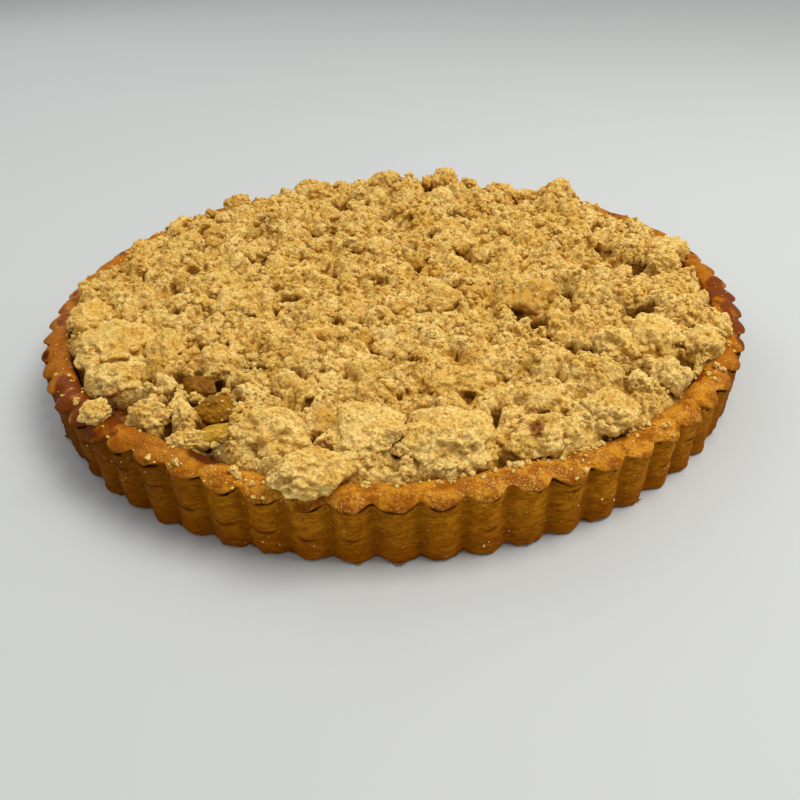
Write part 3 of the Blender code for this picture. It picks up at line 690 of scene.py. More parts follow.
# The heap of crumb: its level, mounds and hollows follow the solid heap
heap = {
    "base": 22.3 * mm,
    "radius": 129.6 * mm,
    "level": 30.8 * mm,
    "roll": 1.5 * mm,
    "ripple": 0.9 * mm,
    "edgeWander": 2.2 * mm,
    "cell": 0.5 * mm,  # of the height map
    "bedReach": 134 * mm,
    "bedSteps": {"front": 0.6 * mm, "back": 0.74 * mm},
    "nuggetReach": 131 * mm,
    "mapReach": 129 * mm,  # further out, things lie on the case itself
    "rimBand": (0.127, 0.141),  # where the height map takes in the case, in metres
    "lumpiness": 1.1 * mm,
    "waves": ((13 * mm, 2.2), (6.5 * mm, 1.3)),  # size and share of the lumpiness
    "waveMean": 0.95,
    "pocketRoom": 1.5 * mm,  # round the chunks of apple
    "pocketDepth": 1.2 * mm,
    "lowest": -0.2 * mm,
    "moat": 2.6 * mm,
    "edgeRounding": 3.0 * mm,
    "highest": 39.0 * mm,
    "sheltered": 1.4 * mm,
    "seed": 8,
    # Gaps in the crumb down to the filling: place, half length and half width in mm, turn in degrees, depth in mm
    "gaps": (
        ((-0.385, -0.575), 5, 2.2, 20, 7), ((-0.51, -0.755), 5.5, 2.6, -15, 8), ((-0.05, -0.69), 2.6, 1.8, 0, 7),
        ((0.37, -0.31), 6.6, 3.2, -35, 7.5), ((0.43, -0.44), 5.0, 3.0, -30, 8.5), ((0.48, -0.485), 7.5, 3.6, -15, 9),
        ((0.58, -0.575), 6.5, 4.0, -10, 8.5), ((0.66, -0.285), 6.5, 4.8, 15, 8), ((0.48, -0.11), 6.6, 3.5, -50, 7.5),
        ((0.32, -0.76), 3, 1.8, 60, 7), ((0.23, -0.88), 4, 1.8, 0, 7), ((-0.4, 0.3), 6.6, 4.1, 20, 6.5),
        ((0.35, 0.12), 5.5, 3.5, -50, 6.5), ((0.735, 0.015), 8.5, 6.0, 15, 8.5), ((-0.15, 0.72), 7.7, 5.4, 0, 6.5),
        ((-0.6, 0.1), 5.5, 3.5, 60, 5.5), ((-0.3, -0.12), 4.4, 2.7, 30, 5.5), ((0.1, -0.28), 3.5, 1.8, 0, 4),
        ((-0.1, 0.3), 4, 2.2, 70, 4), ((0.2, 0.48), 5.5, 3.5, -30, 6.5), ((0.7, 0.32), 6.6, 4.3, 60, 7.5),
        ((-0.78, 0.08), 5.5, 3.5, 80, 6.5), ((-0.62, 0.45), 6.6, 4.1, 30, 6.5), ((0.44, -0.825), 7, 1.8, 28, 6),
        ((0.52, -0.79), 6, 1.8, 34, 6), ((0.75, -0.58), 6, 2.0, 50, 6), ((-0.155, -0.855), 5, 1.8, -20, 6),
        ((-0.43, -0.615), 2.6, 1.8, 0, 7), ((-0.2, -0.69), 3.5, 1.6, 60, 5), ((0.02, -0.72), 4, 1.5, 80, 5),
        ((0.022, -0.82), 7, 1.4, 86, 4.5), ((-0.165, -0.76), 8, 1.4, 75, 8), ((0.215, -0.76), 8, 1.6, 70, 7),
        ((-0.52, -0.725), 5, 1.6, 70, 9), ((-0.525, -0.635), 3.5, 1.5, 75, 7), ((-0.655, -0.635), 6.5, 3.0, 20, 8),
        ((-0.47, -0.745), 4, 1.3, 10, 8), ((0.707, -0.515), 5.5, 3.2, 20, 8), ((0.475, -0.15), 6, 3.2, -20, 6),
    ),
    # Sticky stains where juice came through: place, radius in mm, strength
    "stains": (
        ((0.3, -0.76), 3.5, 0.7), ((0.295, -0.83), 3.2, 1.2), ((0.265, -0.8), 2.2, 0.8), ((-0.83, 0.5), 6.0, 1.0),
        ((0.8, 0.43), 5.0, 1.0), ((-0.155, -0.84), 4.0, 0.8), ((-0.69, -0.6), 5.0, 0.8), ((-0.5, 0.7), 4.0, 0.6),
        ((0.1, 0.86), 5.0, 0.7), ((0.62, -0.7), 3.0, 0.6), ((-0.56, -0.745), 3.5, 0.8),
        ((-0.655, -0.635), 5.5, 1.3), ((-0.6, -0.64), 3.0, 1.0),
    ),
    # Amber patches: place, radius in mm, strength
    "amber": (
        ((0.181, -0.504), 6.0, 1.1), ((0.191, -0.572), 4.0, 0.7), ((-0.092, 0.075), 6.0, 0.8),
        ((-0.004, -0.097), 6.5, 0.7), ((0.219, -0.092), 5.0, 0.5), ((0.385, -0.24), 7.0, 0.5),
        ((0.12, 0.4), 8.0, 0.5), ((-0.3, 0.12), 6.0, 0.5), ((-0.6, 0.4), 8.0, 0.6),
        ((0.3, 0.62), 8.0, 0.5), ((-0.25, -0.3), 5.0, 0.5), ((0.62, 0.2), 7.0, 0.5),
    ),
    # Where the crumb stops short of the rim: turn and half width in degrees, depth in mm
    "dents": (
        (-45, 8, 9), (-33, 4, 6), (-26.5, 4.5, 3.5), (50, 5, 4), (76, 6, 4), (90, 14, 4.5), (-64, 7, 3), (128, 9, 4),
        (-118, 8, 4),
    ),
    # Mounds and hollows: place in shares of the tart's radius, radius and rise in mm
    "mounds": (
        ((0.22, 0.8), 11, 3.5), ((0.00, 0.82), 12, 3.0), ((-0.55, 0.66), 9, 2.5), ((0.64, 0.6), 12, 3.5),
        ((0.38, -0.17), 13, 2.5), ((0.05, 0.1), 40, 1.0), ((-0.06, -0.69), 4, -4), ((0.42, -0.47), 5, -4),
        ((0.36, -0.33), 6, -4), ((0.48, -0.1), 5, -4), ((0.57, -0.58), 5, -4), ((0.66, -0.3), 5, -3),
        ((0.73, -0.02), 7, -4), ((-0.4, 0.26), 7, -4), ((-0.17, 0.66), 11, -4), ((-0.45, -0.32), 6, -3),
        ((-0.4, -0.8), 6, -4), ((-0.45, -0.61), 7, -3),
    ),
    # Packed crumb: size of a grain and how deep the creases between such grains are
    "packed": ((13.0 * mm, 6.5 * mm), (6.2 * mm, 3.8 * mm), (3.6 * mm, 1.4 * mm)),
    # the finer crumb: its place and reach, and how far its large lumps sink
    "fineMiddle": ((0.02, -0.25), 42 * mm, 0.45),
    "grains": ((2.3 * mm, 1.2 * mm),),
}

# Clumps that stand out: place, length, width, height in mm, turn in degrees, how toasted
clumps = (
    ((0.12, -0.82), 31, 24, 16, -8, 0.1), ((-0.07, -0.79), 25, 26, 15, 20, 0.0),
    ((-0.278, -0.772), 26, 20, 15, -25, 0.0), ((0.31, -0.81), 23, 15, 12, 22, 0.0),
    ((0.47, -0.74), 19, 18, 12, 35, 0.0), ((-0.563, -0.683), 14.5, 9.5, 10, -28, 0.1),
    ((-0.479, -0.708), 7.5, 10.5, 10, 14, 0.0), ((-0.462, -0.776), 12.5, 7.5, 9, 2, 0.0),
    ((-0.45, -0.45), 18, 19, 14, 15, 0.35), ((-0.59, -0.38), 13, 26, 13, 12, 0.35),
    ((-0.73, -0.34), 28, 36, 12, 25, 0.35), ((-0.66, -0.52), 21, 17, 12, -20, 0.3),
    ((-0.84, -0.18), 17, 22, 12, 8, 0.3), ((-0.25, -0.6), 11, 18, 12, 18, 0.5),
    ((0.38, -0.19), 23, 22, 17, 5, 0.8), ((0.66, -0.42), 20, 25, 14, -18, 0.1),
    ((0.56, -0.47), 15, 18, 13, 10, 0.3), ((0.65, -0.61), 13, 12, 13, 40, 0.0),
    ((0.565, -0.645), 8, 10, 10, 15, 0.0), ((0.78, -0.44), 18, 15, 12, 50, 0.1),
    ((0.85, -0.33), 9, 16, 12, 20, 0.0), ((0.15, -0.6), 25, 16, 12, 5, 0.3),
    ((0.22, 0.8), 15, 14, 17, 0, 0.4), ((0.00, 0.82), 17, 14, 16, 30, 0.3),
    ((-0.55, 0.66), 13, 12, 15, 0, 0.5), ((0.62, 0.62), 19, 14, 16, -40, 0.3),
    ((-0.28, 0.8), 22, 16, 14, 15, 0.4), ((0.42, 0.7), 18, 14, 13, -20, 0.3),
    ((-0.8, 0.28), 14, 20, 13, 0, 0.4), ((0.82, 0.02), 13, 17, 14, 10, 0.2),
)
clumpRules = {
    "finest": 4,  # the first clumps have the finest mesh
    "sink": 0.2,
    "roughness": 0.34,
    "knobs": 0.2,
    "scatter": ((15, 14.0 * mm), (7, 10.0 * mm)),
    "scatterShape": (1.15, 0.95, 0.8),
    "scatterReach": 0.89,
    "scatterSeed": 11,
    # how smooth and sandy the tops of some clumps are, by their number
    "sandiness": {
        0: 0.9, 1: 0.8, 2: 0.8, 3: 0.6, 4: 0.4, 5: 0.7, 6: 0.5, 7: 0.3, 8: 0.5, 9: 0.6, 10: 0.75, 11: 0.7, 12: 0.5,
        15: 0.4,
    },
    # size and depth of each kind of relief
    "lobes": (8 * mm, 0.4 * mm),
    "nodules": (2.4 * mm, 0.85 * mm),
    "grit": (1.7 * mm, 0.5 * mm),
    "splits": (10 * mm, 0.8 * mm),
}

# Chunks of apple: place, length, width, height in mm, turn and tilt in degrees
apples = (
    ((-0.475, -0.555), 13.5, 9.0, 7.5, 12, -6),
    ((-0.425, -0.655), 14.5, 9.5, 8.0, -6, 8),
    ((-0.405, -0.74), 13.5, 8.5, 6.8, 10, -5),
)


def place(share):
    return share[0] * tart["radius"], share[1] * tart["radius"]


def crumbLevel(x, y):
    reach = min(math.hypot(x, y) / heap["radius"], 1)
    height = heap["level"] - heap["base"]
    height += heap["roll"] * noise.noise((x * 28, y * 28, 0))
    height += heap["ripple"] * noise.noise((x * 75, y * 75, 75))
    for share, radius, rise in heap["mounds"]:
        atX, atY = place(share)
        height += rise * mm * math.exp(-((x - atX) ** 2 + (y - atY) ** 2) / (radius * mm) ** 2)
    return heap["base"] + height * (1 - 0.6 * reach**30)


def crumbEdge(turns):
    outline = heap["radius"] + heap["edgeWander"] * (ringNoise(turns, 9, 3.0) + ringNoise(turns, 31, 6.0))
    return outline - sum(depth * mm * swell(turns, at, wide) for at, wide, depth in heap["dents"])


edgeSteps = 2880
edgeTable = crumbEdge(np.linspace(-math.pi, math.pi, edgeSteps, endpoint=False))


def edgeAt(x, y):  # the heap's edge in the direction of these points
    turns = np.arctan2(x, -y)
    return edgeTable[np.round((turns + math.pi) / math.tau * edgeSteps).astype(int) % edgeSteps]


def edgeToward(turn):
    return edgeTable[int((turn + math.pi) / math.tau * edgeSteps) % edgeSteps]


class HeightMap:  # the height of everything that lies on the tart, seen from above
    def __init__(self, cell, half):
        self.cell = cell
        self.half = half
        self.side = int(round(2 * half / cell)) + 1
        self.line = np.linspace(-half, half, self.side)
        self.x, self.y = np.meshgrid(self.line, self.line)
        self.top = np.full(self.x.shape, heap["base"])

    def window(self, x, y, radius):
        column, row = (x + self.half) / self.cell, (y + self.half) / self.cell
        wide = radius / self.cell
        rows = slice(max(int(row - wide), 0), int(row + wide) + 2)
        columns = slice(max(int(column - wide), 0), int(column + wide) + 2)
        return rows, columns

    def level(self, x, y, radius):
        return float(self.top[self.window(x, y, radius)].mean())

    def layDome(self, x, y, z, radius, rise):
        spot = self.window(x, y, radius)
        away = ((self.x[spot] - x) ** 2 + (self.y[spot] - y) ** 2) / radius**2
        dome = z + rise * np.sqrt(np.clip(1 - away, 0, 1))
        self.top[spot] = np.where(away < 1, np.maximum(self.top[spot], dome), self.top[spot])

    def layPoints(self, points):  # the map takes the height of the highest point in each cell
        column = np.round((points[:, 0] + self.half) / self.cell).astype(int)
        row = np.round((points[:, 1] + self.half) / self.cell).astype(int)
        found = np.full(self.x.shape, -1.0)
        np.maximum.at(found, (row, column), points[:, 2])
        around = np.max([np.roll(found, (up, across), (0, 1)) for up in (-1, 0, 1) for across in (-1, 0, 1)], 0)
        found = np.where(found > 0, found, around)
        self.top = np.where(found > 0, found, self.top)

    def read(self, x, y, field=None):
        field = self.top if field is None else field
        column = np.clip((x + self.half) / self.cell, 0, self.side - 1.001)
        row = np.clip((y + self.half) / self.cell, 0, self.side - 1.001)
        c, r = column.astype(int), row.astype(int)
        u, v = column - c, row - r
        near = field[r, c] * (1 - u) + field[r, c + 1] * u
        far = field[r + 1, c] * (1 - u) + field[r + 1, c + 1] * u
        return near * (1 - v) + far * v

    def blurred(self, radius, field=None):
        field = self.top if field is None else field
        wide = max(int(radius / self.cell), 1)
        for axis in (0, 1):
            for repeat in range(2):
                room = [(wide + 1, wide) if side == axis else (0, 0) for side in (0, 1)]
                total = np.moveaxis(np.cumsum(np.pad(field, room, "edge"), axis), axis, 0)
                field = np.moveaxis((total[2 * wide + 1:] - total[:-2 * wide - 1]) / (2 * wide + 1), 0, axis)
        return field


heights = HeightMap(heap["cell"], 142 * mm)


def pocketShare(x, y, room):  # 1 over the chunks of apple and round them, 0 elsewhere
    share = 0
    for spot, length, width, height, turn, tilt in apples:
        u, v = measured(x, y, place(spot), math.radians(turn))
        reach = ((u / (length / 2 * mm + room)) ** 4 + (v / (width / 2 * mm + room)) ** 4) ** 0.25
        share = np.maximum(share, 1 - smoothstep(0.92, 1.12, reach))
    return share


def gapShare(x, y, spot, length, width, turn):
    u, v = measured(x, y, place(spot), math.radians(turn))
    return 1 - smoothstep(0.35, 1.35, np.hypot(u / length, v / width))


def inGap(x, y, room):
    return any(
        math.dist((x, y), place(spot)) < (length + 3) * mm + room
        and gapShare(x, y, spot, length * mm + 0.6 * room, width * mm + 0.6 * room, turn) > 0.4
        for spot, length, width, turn, depth in heap["gaps"]
    )


def makeBed():
    reach = np.hypot(heights.x, heights.y)
    edge = edgeAt(heights.x, heights.y)
    inside = reach < edge
    level = np.array([crumbLevel(x, y) for x, y in zip(heights.x[inside], heights.y[inside])])
    heights.top[inside] = level
    flat = np.stack([heights.x, heights.y, 0 * heights.x], -1)
    waves = sum(share * np.abs(softNoise(flat, size, 51 + n)) for n, (size, share) in enumerate(heap["waves"]))
    foot = 0 * reach  # 1 at the foot of a clump, where the bed is calmer and lower
    for centre, size, turn, *rest in clumpSpots:
        u, v = measured(heights.x, heights.y, centre, turn)
        reachIn = np.hypot(u / size[0], v / size[1]) * 2
        foot = np.maximum(foot, 1 - smoothstep(1.0, 1.5, reachIn))
    relief = heap["lumpiness"] * (waves - heap["waveMean"])
    spot, middleReach, sunk = heap["fineMiddle"]
    middleX, middleY = place(spot)
    away = np.hypot(heights.x - middleX, heights.y - middleY)
    middle = 1 - sunk * (1 - smoothstep(0.6 * middleReach, 1.3 * middleReach, away))
    for number, (size, depth) in enumerate(heap["packed"]):
        relief += depth * (packedGrains(flat, size, 54 + 10 * number) - 0.58) * (middle if number == 0 else 1)
    loose = smoothstep(-0.45, 0.1, softNoise(flat, 12 * mm, 58))
    heights.top[inside] += (relief * (1 - 0.5 * foot) - heap["moat"] * foot * loose)[inside]
    inward = np.clip((edge - reach) / heap["edgeRounding"], 0, 1)
    shoulder = np.sqrt(1 - (1 - inward) ** 2)
    uncut = heap["base"] + np.maximum(heights.top - heap["base"], heap["lowest"]) * shoulder
    for spot, length, width, turn, depth in heap["gaps"]:
        share = gapShare(heights.x, heights.y, spot, length * mm, width * mm, turn)
        heights.top -= depth * mm * share
    pocket = pocketShare(heights.x, heights.y, heap["pocketRoom"])
    # rounded at the edge, and cut away round the apple
    risen = np.maximum(heights.top - heap["base"], heap["lowest"]) * shoulder * (1 - pocket)
    heights.top = heap["base"] + risen
    heights.top -= heap["pocketDepth"] * pocket
    return uncut


def bedMesh(part):
    step = heap["bedSteps"][part]
    half = int(heap["bedReach"] / step)
    rng = np.random.default_rng(heap["seed"])
    line = np.arange(-half, half + 1) * step
    rows = np.arange(-half, 1) * step if part == "front" else np.arange(0, half + 1) * step
    x, y = np.meshgrid(line, rows)
    jitter = rng.uniform(-0.24, 0.24, (2,) + x.shape) * step
    jitter[1][np.abs(y) < 0.1 * step] = 0  # the two halves meet along a line
    x, y = x + jitter[0], y + jitter[1]
    reach, edge = np.hypot(x, y), edgeAt(x, y)
    inside = reach < edge
    pull = np.where(inside, 1, edge / np.maximum(reach, 1 * mm))
    x, y = x * pull, y * pull
    z = np.where(inside, heights.read(x, y), heap["base"] - 0.6 * mm)
    points = np.stack([x, y, z], -1).reshape(-1, 3)
    slope = [(heights.read(x + dx, y + dy) - heights.read(x - dx, y - dy)) / (1.6 * mm)
             for dx, dy in ((0.8 * mm, 0), (0, 0.8 * mm))]
    normals = np.stack([-slope[0], -slope[1], np.ones(x.shape)], -1).reshape(-1, 3)
    normals /= np.linalg.norm(normals, axis=1, keepdims=True)
    calm = (smoothstep(0.0, 2.5 * mm, edge - reach) * (1 - pocketShare(x, y, heap["pocketRoom"]))).ravel()
    depth, pit = 0, 0
    for number, (size, rise) in enumerate(heap["grains"]):
        grains = packedGrains(points, size, 74 + number)
        depth = depth + rise * (grains - 0.6)
        pit = pit + 0.7 * pitShare(grains)
    points = points + normals * (depth * calm)[:, None]
    points[:, 2] = np.minimum(points[:, 2], heap["highest"])
    quads = gridQuads(np.arange(x.size).reshape(x.shape))
    kept = inside.ravel()[quads].any(1)
    return tidied(points, quads[kept], pit)


def tidied(points, faces, values):  # only the points that the faces use
    used, inverse = np.unique(faces, return_inverse=True)
    return points[used], inverse.reshape(faces.shape), values[used]


# Painted shade on the crumb, darker where it lies below what is round it: how far down that starts, over which depth
# it grows, and how much
shade = {
    "belowWide": (1.1 * mm, 5.0 * mm, 0.65),
    "belowNear": (0.35 * mm, 2.0 * mm, 0.4),
    # deep in the gaps: painted shade, and crumb dark with juice at the filling
    "inGap": (0.7 * mm, 2.5 * mm, 0.9),
}


def paintedShadeAmount(points, near, wide):  # painted shade: 0 on top of things, 1 deep between them
    x, y, z = points[:, 0], points[:, 1], points[:, 2]
    dark = 0
    for (start, depth, most), level in ((shade["belowWide"], wide), (shade["belowNear"], near)):
        dark = dark + np.clip((heights.read(x, y, level) - z - start) / depth, 0, 1) * most
    start, depth, most = shade["inGap"]
    return dark + most * smoothstep(start, start + depth, heights.read(x, y, uncutLevel) - z)


# Clumps, with the same outlines as those of the solid heap
def ballMesh(level):
    bm = bmesh.new()
    bmesh.ops.create_icosphere(bm, subdivisions=level, radius=1)
    points = np.array([v.co for v in bm.verts])
    faces = np.array([[v.index for v in f.verts] for f in bm.faces])
    bm.free()
    return points, faces


balls = {level: ballMesh(level) for level in (1, 2, 3, 4, 5, 6)}


def meshNormals(points, faces):
    corner = points[faces]
    flat = np.cross(corner[:, 1] - corner[:, 0], corner[:, 2] - corner[:, 0])
    normals = np.zeros_like(points)
    for index in range(3):
        np.add.at(normals, faces[:, index], flat)
    return normals / np.maximum(np.linalg.norm(normals, axis=1, keepdims=True), 1e-15)


def lumpyBlob(size, turn, level, seed):
    points, faces = balls[level]
    rough = [noise.noise((p[0] * 1.4 + seed, p[1] * 1.4, p[2] * 1.4)) for p in points.tolist()]
    knobs = [noise.noise((p[0] * 4.3, p[1] * 4.3 + seed, p[2] * 4.3)) for p in points.tolist()]
    scale = 1 + clumpRules["roughness"] * np.array(rough) + clumpRules["knobs"] * np.array(knobs)
    points = points * scale[:, None] * np.array(size) / 2
    return points @ np.array(Matrix.Rotation(turn, 3, "Z")).T, faces


def pitShare(grains):  # 1 deep between packed grains, 0 on them; it sets the painted shade there
    return np.clip((0.6 - grains) / 0.45, 0, 1)


def crumbRelief(points, normals, sandy=0.0, fine=False):  # and how deep in a crease each point is, for painted shade there
    (lobe, lobeDepth), (nodule, noduleDepth) = clumpRules["lobes"], clumpRules["nodules"]
    (gritty, gritDepth), (piece, splitDepth) = clumpRules["grit"], clumpRules["splits"]
    lobes = softNoise(points, lobe, 61) + 0.5 * softNoise(points, lobe / 2, 62)
    nodules = packedGrains(points, nodule, 63, 0.1)
    grit = packedGrains(points, gritty, 74, 0.1)
    side = 1 - np.clip(normals[:, 2] * 1.2, 0, 1)  # the sides are more nodular than sandy tops
    nodular = np.maximum(side, 1 - 0.75 * sandy)
    depth = lobeDepth * lobes * (1 - 0.4 * sandy)
    depth += noduleDepth * (nodules - 0.62) * nodular
    pit = 0.5 * pitShare(nodules) * nodular
    if fine:
        depth += gritDepth * (grit - 0.6) * (1 - 0.4 * sandy)
        pit += 0.3 * pitShare(grit)
    split = np.abs(softNoise(points, piece, 65) + 0.25 * softNoise(points, 0.3 * piece, 66))
    where = smoothstep(-0.2, 0.3, softNoise(points, 16 * mm, 67)) * (1 - 0.8 * sandy)
    crack = (1 - smoothstep(0.0, 0.13, split)) * where
    depth -= splitDepth * crack
    return points + normals * depth[:, None], np.clip(pit + 0.5 * crack, 0, 1)


def clumpPlaces():  # centre, size, turn, level of detail and toast
    rng = random.Random(clumpRules["scatterSeed"])
    places = []
    for number, (share, length, width, height, turn, toast) in enumerate(clumps):
        x, y = place(share)
        size = (length * mm, width * mm, height * mm)
        centre = (x, y, crumbLevel(x, y) - clumpRules["sink"] * size[2])
        level = 6 if number < clumpRules["finest"] else 5
        places.append((centre, size, math.radians(turn), level, toast))
    spots = [place(apple[0]) for apple in apples]
    for count, width in clumpRules["scatter"]:
        wanted = len(places) + count
        while len(places) < wanted:
            turn = rng.uniform(0, math.tau)
            far = clumpRules["scatterReach"] * tart["radius"] * math.sqrt(rng.random())
            x, y = outward(turn, far)
            grown = width * rng.uniform(0.85, 1.2)
            size = tuple(axis * grown for axis in clumpRules["scatterShape"])
            crowded = any(
                math.hypot(x - at[0], y - at[1]) < 0.45 * width + 0.34 * (big[0] + big[1]) / 2
                for at, big, *rest in places
            )
            nearApple = any(math.hypot(x - a, y - b) < width + 5 * mm for a, b in spots)
            if crowded or nearApple:
                continue
            z = crumbLevel(x, y) - clumpRules["sink"] * size[2]
            places.append(((x, y, z), size, rng.uniform(0, math.pi), 4, 0.5 * math.sin(7 * len(places)) ** 2))
    return places


def joined(parts):  # many (points, faces, values) as one mesh
    points, faces, values, start = [], [], {}, 0
    for somePoints, someFaces, someValues in parts:
        points.append(somePoints)
        faces.append(someFaces + start)
        start += len(somePoints)
        for key, numbers in someValues.items():
            values.setdefault(key, []).append(np.broadcast_to(numbers, len(somePoints)))
    return np.concatenate(points), np.concatenate(faces), {k: np.concatenate(v) for k, v in values.items()}


def makeClumps():
    parts = []
    for number, (centre, size, turn, level, toast) in enumerate(clumpSpots):
        points, faces = lumpyBlob(size, turn, level, 3.7 * number)
        points = points + np.array(centre)
        sandy = clumpRules["sandiness"].get(number, 0.0)
        points, pit = crumbRelief(points, meshNormals(points, faces), sandy, level > 4)
        points[:, 2] = np.minimum(points[:, 2], heap["highest"])
        buried = points[:, 2] < heights.read(points[:, 0], points[:, 1], bedLevel) - 1.5 * mm
        faces = faces[~buried[faces].all(1)]
        points, faces, pit = tidied(points, faces, pit)
        tone = math.sin(12.9 * number) * 0.8
        parts.append((points, faces, {"toast": toast, "tone": tone, "pit": pit}))
    return joined(parts)


clumpSpots = clumpPlaces()
uncutLevel = makeBed()
beds = {part: bedMesh(part) for part in heap["bedSteps"]}
heights.layPoints(np.concatenate([points for points, faces, pit in beds.values()]))
bedLevel = heights.top.copy()
print("bed", [len(faces) for points, faces, pit in beds.values()], "faces")
clumpPoints, clumpFaces, clumpValues = makeClumps()
clumpTree = BVHTree.FromPolygons(clumpPoints.tolist(), clumpFaces.tolist())
crustTree = BVHTree.FromPolygons(
    [v.co for v in crustPiece.data.vertices], [p.vertices for p in crustPiece.data.polygons]
)


down = Vector((0, 0, -1))
above, beyond = 0.1, 0.16  # rays start from there, in metres


def dropOn(tree, x, y):  # where something that falls there meets the pieces in the tree
    return tree.ray_cast((x, y, above), down)[0]


def wallAt(turn, height):  # where the wall is in the direction of a turn
    out = Vector((math.sin(turn), -math.cos(turn), 0))
    return crustTree.ray_cast(out * beyond + Vector((0, 0, height)), -out)[0]


def raiseTo(tree, where):  # the height map's cells there rise to the top of the pieces in the tree
    for row, column in zip(*np.nonzero(where)):
        hit = dropOn(tree, heights.x[row, column], heights.y[row, column])
        if hit and hit.z > heights.top[row, column]:
            heights.top[row, column] = hit.z


reachMap = np.hypot(heights.x, heights.y)
nearClump = np.zeros(heights.x.shape, bool)
for centre, size, *rest in clumpSpots:
    nearClump[heights.window(centre[0], centre[1], 0.62 * max(size[0], size[1]))] = True
raiseTo(clumpTree, nearClump)
raiseTo(crustTree, (reachMap > heap["rimBand"][0]) & (reachMap < heap["rimBand"][1]))
onClump = heights.top > bedLevel + 0.8 * mm
print("clumps", len(clumpFaces), "faces")


# Nuggets and grains, the largest first, each laid on what is there already
nuggets = {
    "coarse": {"count": 75, "small": 3.2 * mm, "large": 5.4 * mm, "level": 4, "stand": 0.15, "clumpShare": 0.0},
    "middle": {"count": 280, "small": 1.6 * mm, "large": 2.9 * mm, "level": 3, "stand": 0.15, "clumpShare": 0.04},
    "small": {"count": 1000, "small": 1.0 * mm, "large": 1.7 * mm, "level": 2, "stand": 0.15, "clumpShare": 0.1},
    "fine": {"count": 2600, "small": 0.5 * mm, "large": 1.05 * mm, "level": 1, "stand": 0.25, "clumpShare": 0.3},
}
laying = {
    "shapes": 14,
    "tries": 40,  # for each nugget
    "overhang": 1.2 * mm,
    "appleRoom": 1.0 * mm,
    "tilt": 0.9,
    "sunk": 0.95,  # how much of a nugget the height map takes in
}


def nuggetShape(level, seed):  # a cluster of small balls grown together, about a unit in radius
    points, faces = balls[level]
    rng = np.random.default_rng(int(seed * 10))
    reach = np.full(len(points), 0.62)
    for number in range(3 + 2 * level if level > 1 else 3):
        aim = rng.normal(size=3)
        centre = aim / np.linalg.norm(aim) * rng.uniform(0.35, 0.62)
        radius = rng.uniform(0.36, 0.56)
        along = points @ centre
        inside = radius**2 - centre @ centre + along**2
        reach = np.maximum(reach, np.where((inside > 0) & (along > 0), along + np.sqrt(np.maximum(inside, 0)), 0))
    rough = np.array([noise.noise((p[0] * 2.2 + seed, p[1] * 2.2, p[2] * 2.2)) for p in points.tolist()])
    return points * (reach * (1 + 0.25 * rough))[:, None], faces


def turnMatrices(rng, count, tilt):
    spin = rng.uniform(0, math.tau, count)
    lean = rng.uniform(0, tilt, count)
    toward = rng.uniform(0, math.tau, count)
    made = [
        np.array(Matrix.Rotation(lean[n], 3, Vector((math.cos(toward[n]), math.sin(toward[n]), 0)))
                 @ Matrix.Rotation(spin[n], 3, "Z"))
        for n in range(count)
    ]
    return np.array(made)


def layNuggets(kind, seed):
    rule = nuggets[kind]
    rng = np.random.default_rng(seed)
    shapes = [nuggetShape(rule["level"], 2.3 * number + seed) for number in range(laying["shapes"])]
    placed = []
    tries = 0
    while len(placed) < rule["count"] and tries < laying["tries"] * rule["count"]:
        tries += 1
        turn = rng.uniform(-math.pi, math.pi)
        far = heap["nuggetReach"] * math.sqrt(rng.random())
        x, y = outward(turn, far)
        radius = biased(rng, rule["small"], rule["large"], 1.5)
        row, column = (int(round((value + heights.half) / heights.cell)) for value in (y, x))
        if far > edgeToward(turn) + laying["overhang"] - radius:
            continue
        if pocketShare(x, y, laying["appleRoom"] + radius * 0.5) > 0.3:
            continue
        if onClump[row, column] and rng.random() > rule["clumpShare"] or inGap(x, y, radius):
            continue
        if bedHollow[row, column] > heap["sheltered"]:  # hollows stay clean
            continue
        z = heights.level(x, y, radius * 0.7) + rule["stand"] * radius * rng.uniform(0.3, 1.2)
        stretch = rng.uniform(0.85, 1.25), rng.uniform(0.8, 1.1), rng.uniform(0.7, 0.95)
        if z + radius > heap["highest"]:
            continue
        heights.layDome(x, y, z, radius * laying["sunk"], radius * stretch[2] * laying["sunk"])
        placed.append((x, y, z, radius, *stretch))
    placed = np.array(placed)
    turnings = turnMatrices(rng, len(placed), laying["tilt"])
    which = rng.integers(0, laying["shapes"], len(placed))
    parts = []
    for number, (points, faces) in enumerate(shapes):
        mine = which == number
        if not mine.any():
            continue
        size = placed[mine, 3:4] * placed[mine, 4:7]
        local = points[None] * size[:, None, :]
        local = np.einsum("nij,nkj->nki", turnings[mine], local)
        world = local + placed[mine, None, :3]
        count, each = world.shape[:2]
        pit = np.zeros(count * each)
        if rule["level"] > 3:
            reliefs = [crumbRelief(one, meshNormals(one, faces)) for one in world]
            world = np.array([relief[0] for relief in reliefs])
            pit = np.concatenate([relief[1] for relief in reliefs])
        allFaces = (faces[None] + (np.arange(count) * each)[:, None, None]).reshape(-1, 3)
        tone = np.repeat(rng.uniform(-1, 1, count), each)
        toast = np.repeat(rng.random(count) ** 3, each)
        parts.append((world.reshape(-1, 3), allFaces, {"tone": tone, "toast": toast, "pit": pit}))
    return joined(parts)


bedHollow = heights.blurred(5 * mm) - heights.top
laid = {kind: layNuggets(kind, 90 + number) for number, kind in enumerate(nuggets)}
near, wide = heights.blurred(1.2 * mm), heights.blurred(5 * mm)
crumb = crumbFinish("crumb")


def spotShare(points, spots):  # how strongly round patches colour the points
    share = 0
    for spot, radius, strength in spots:
        x, y = place(spot)
        away = (points[:, 0] - x) ** 2 + (points[:, 1] - y) ** 2
        share = share + strength * np.exp(-away / (radius * mm) ** 2)
    return share


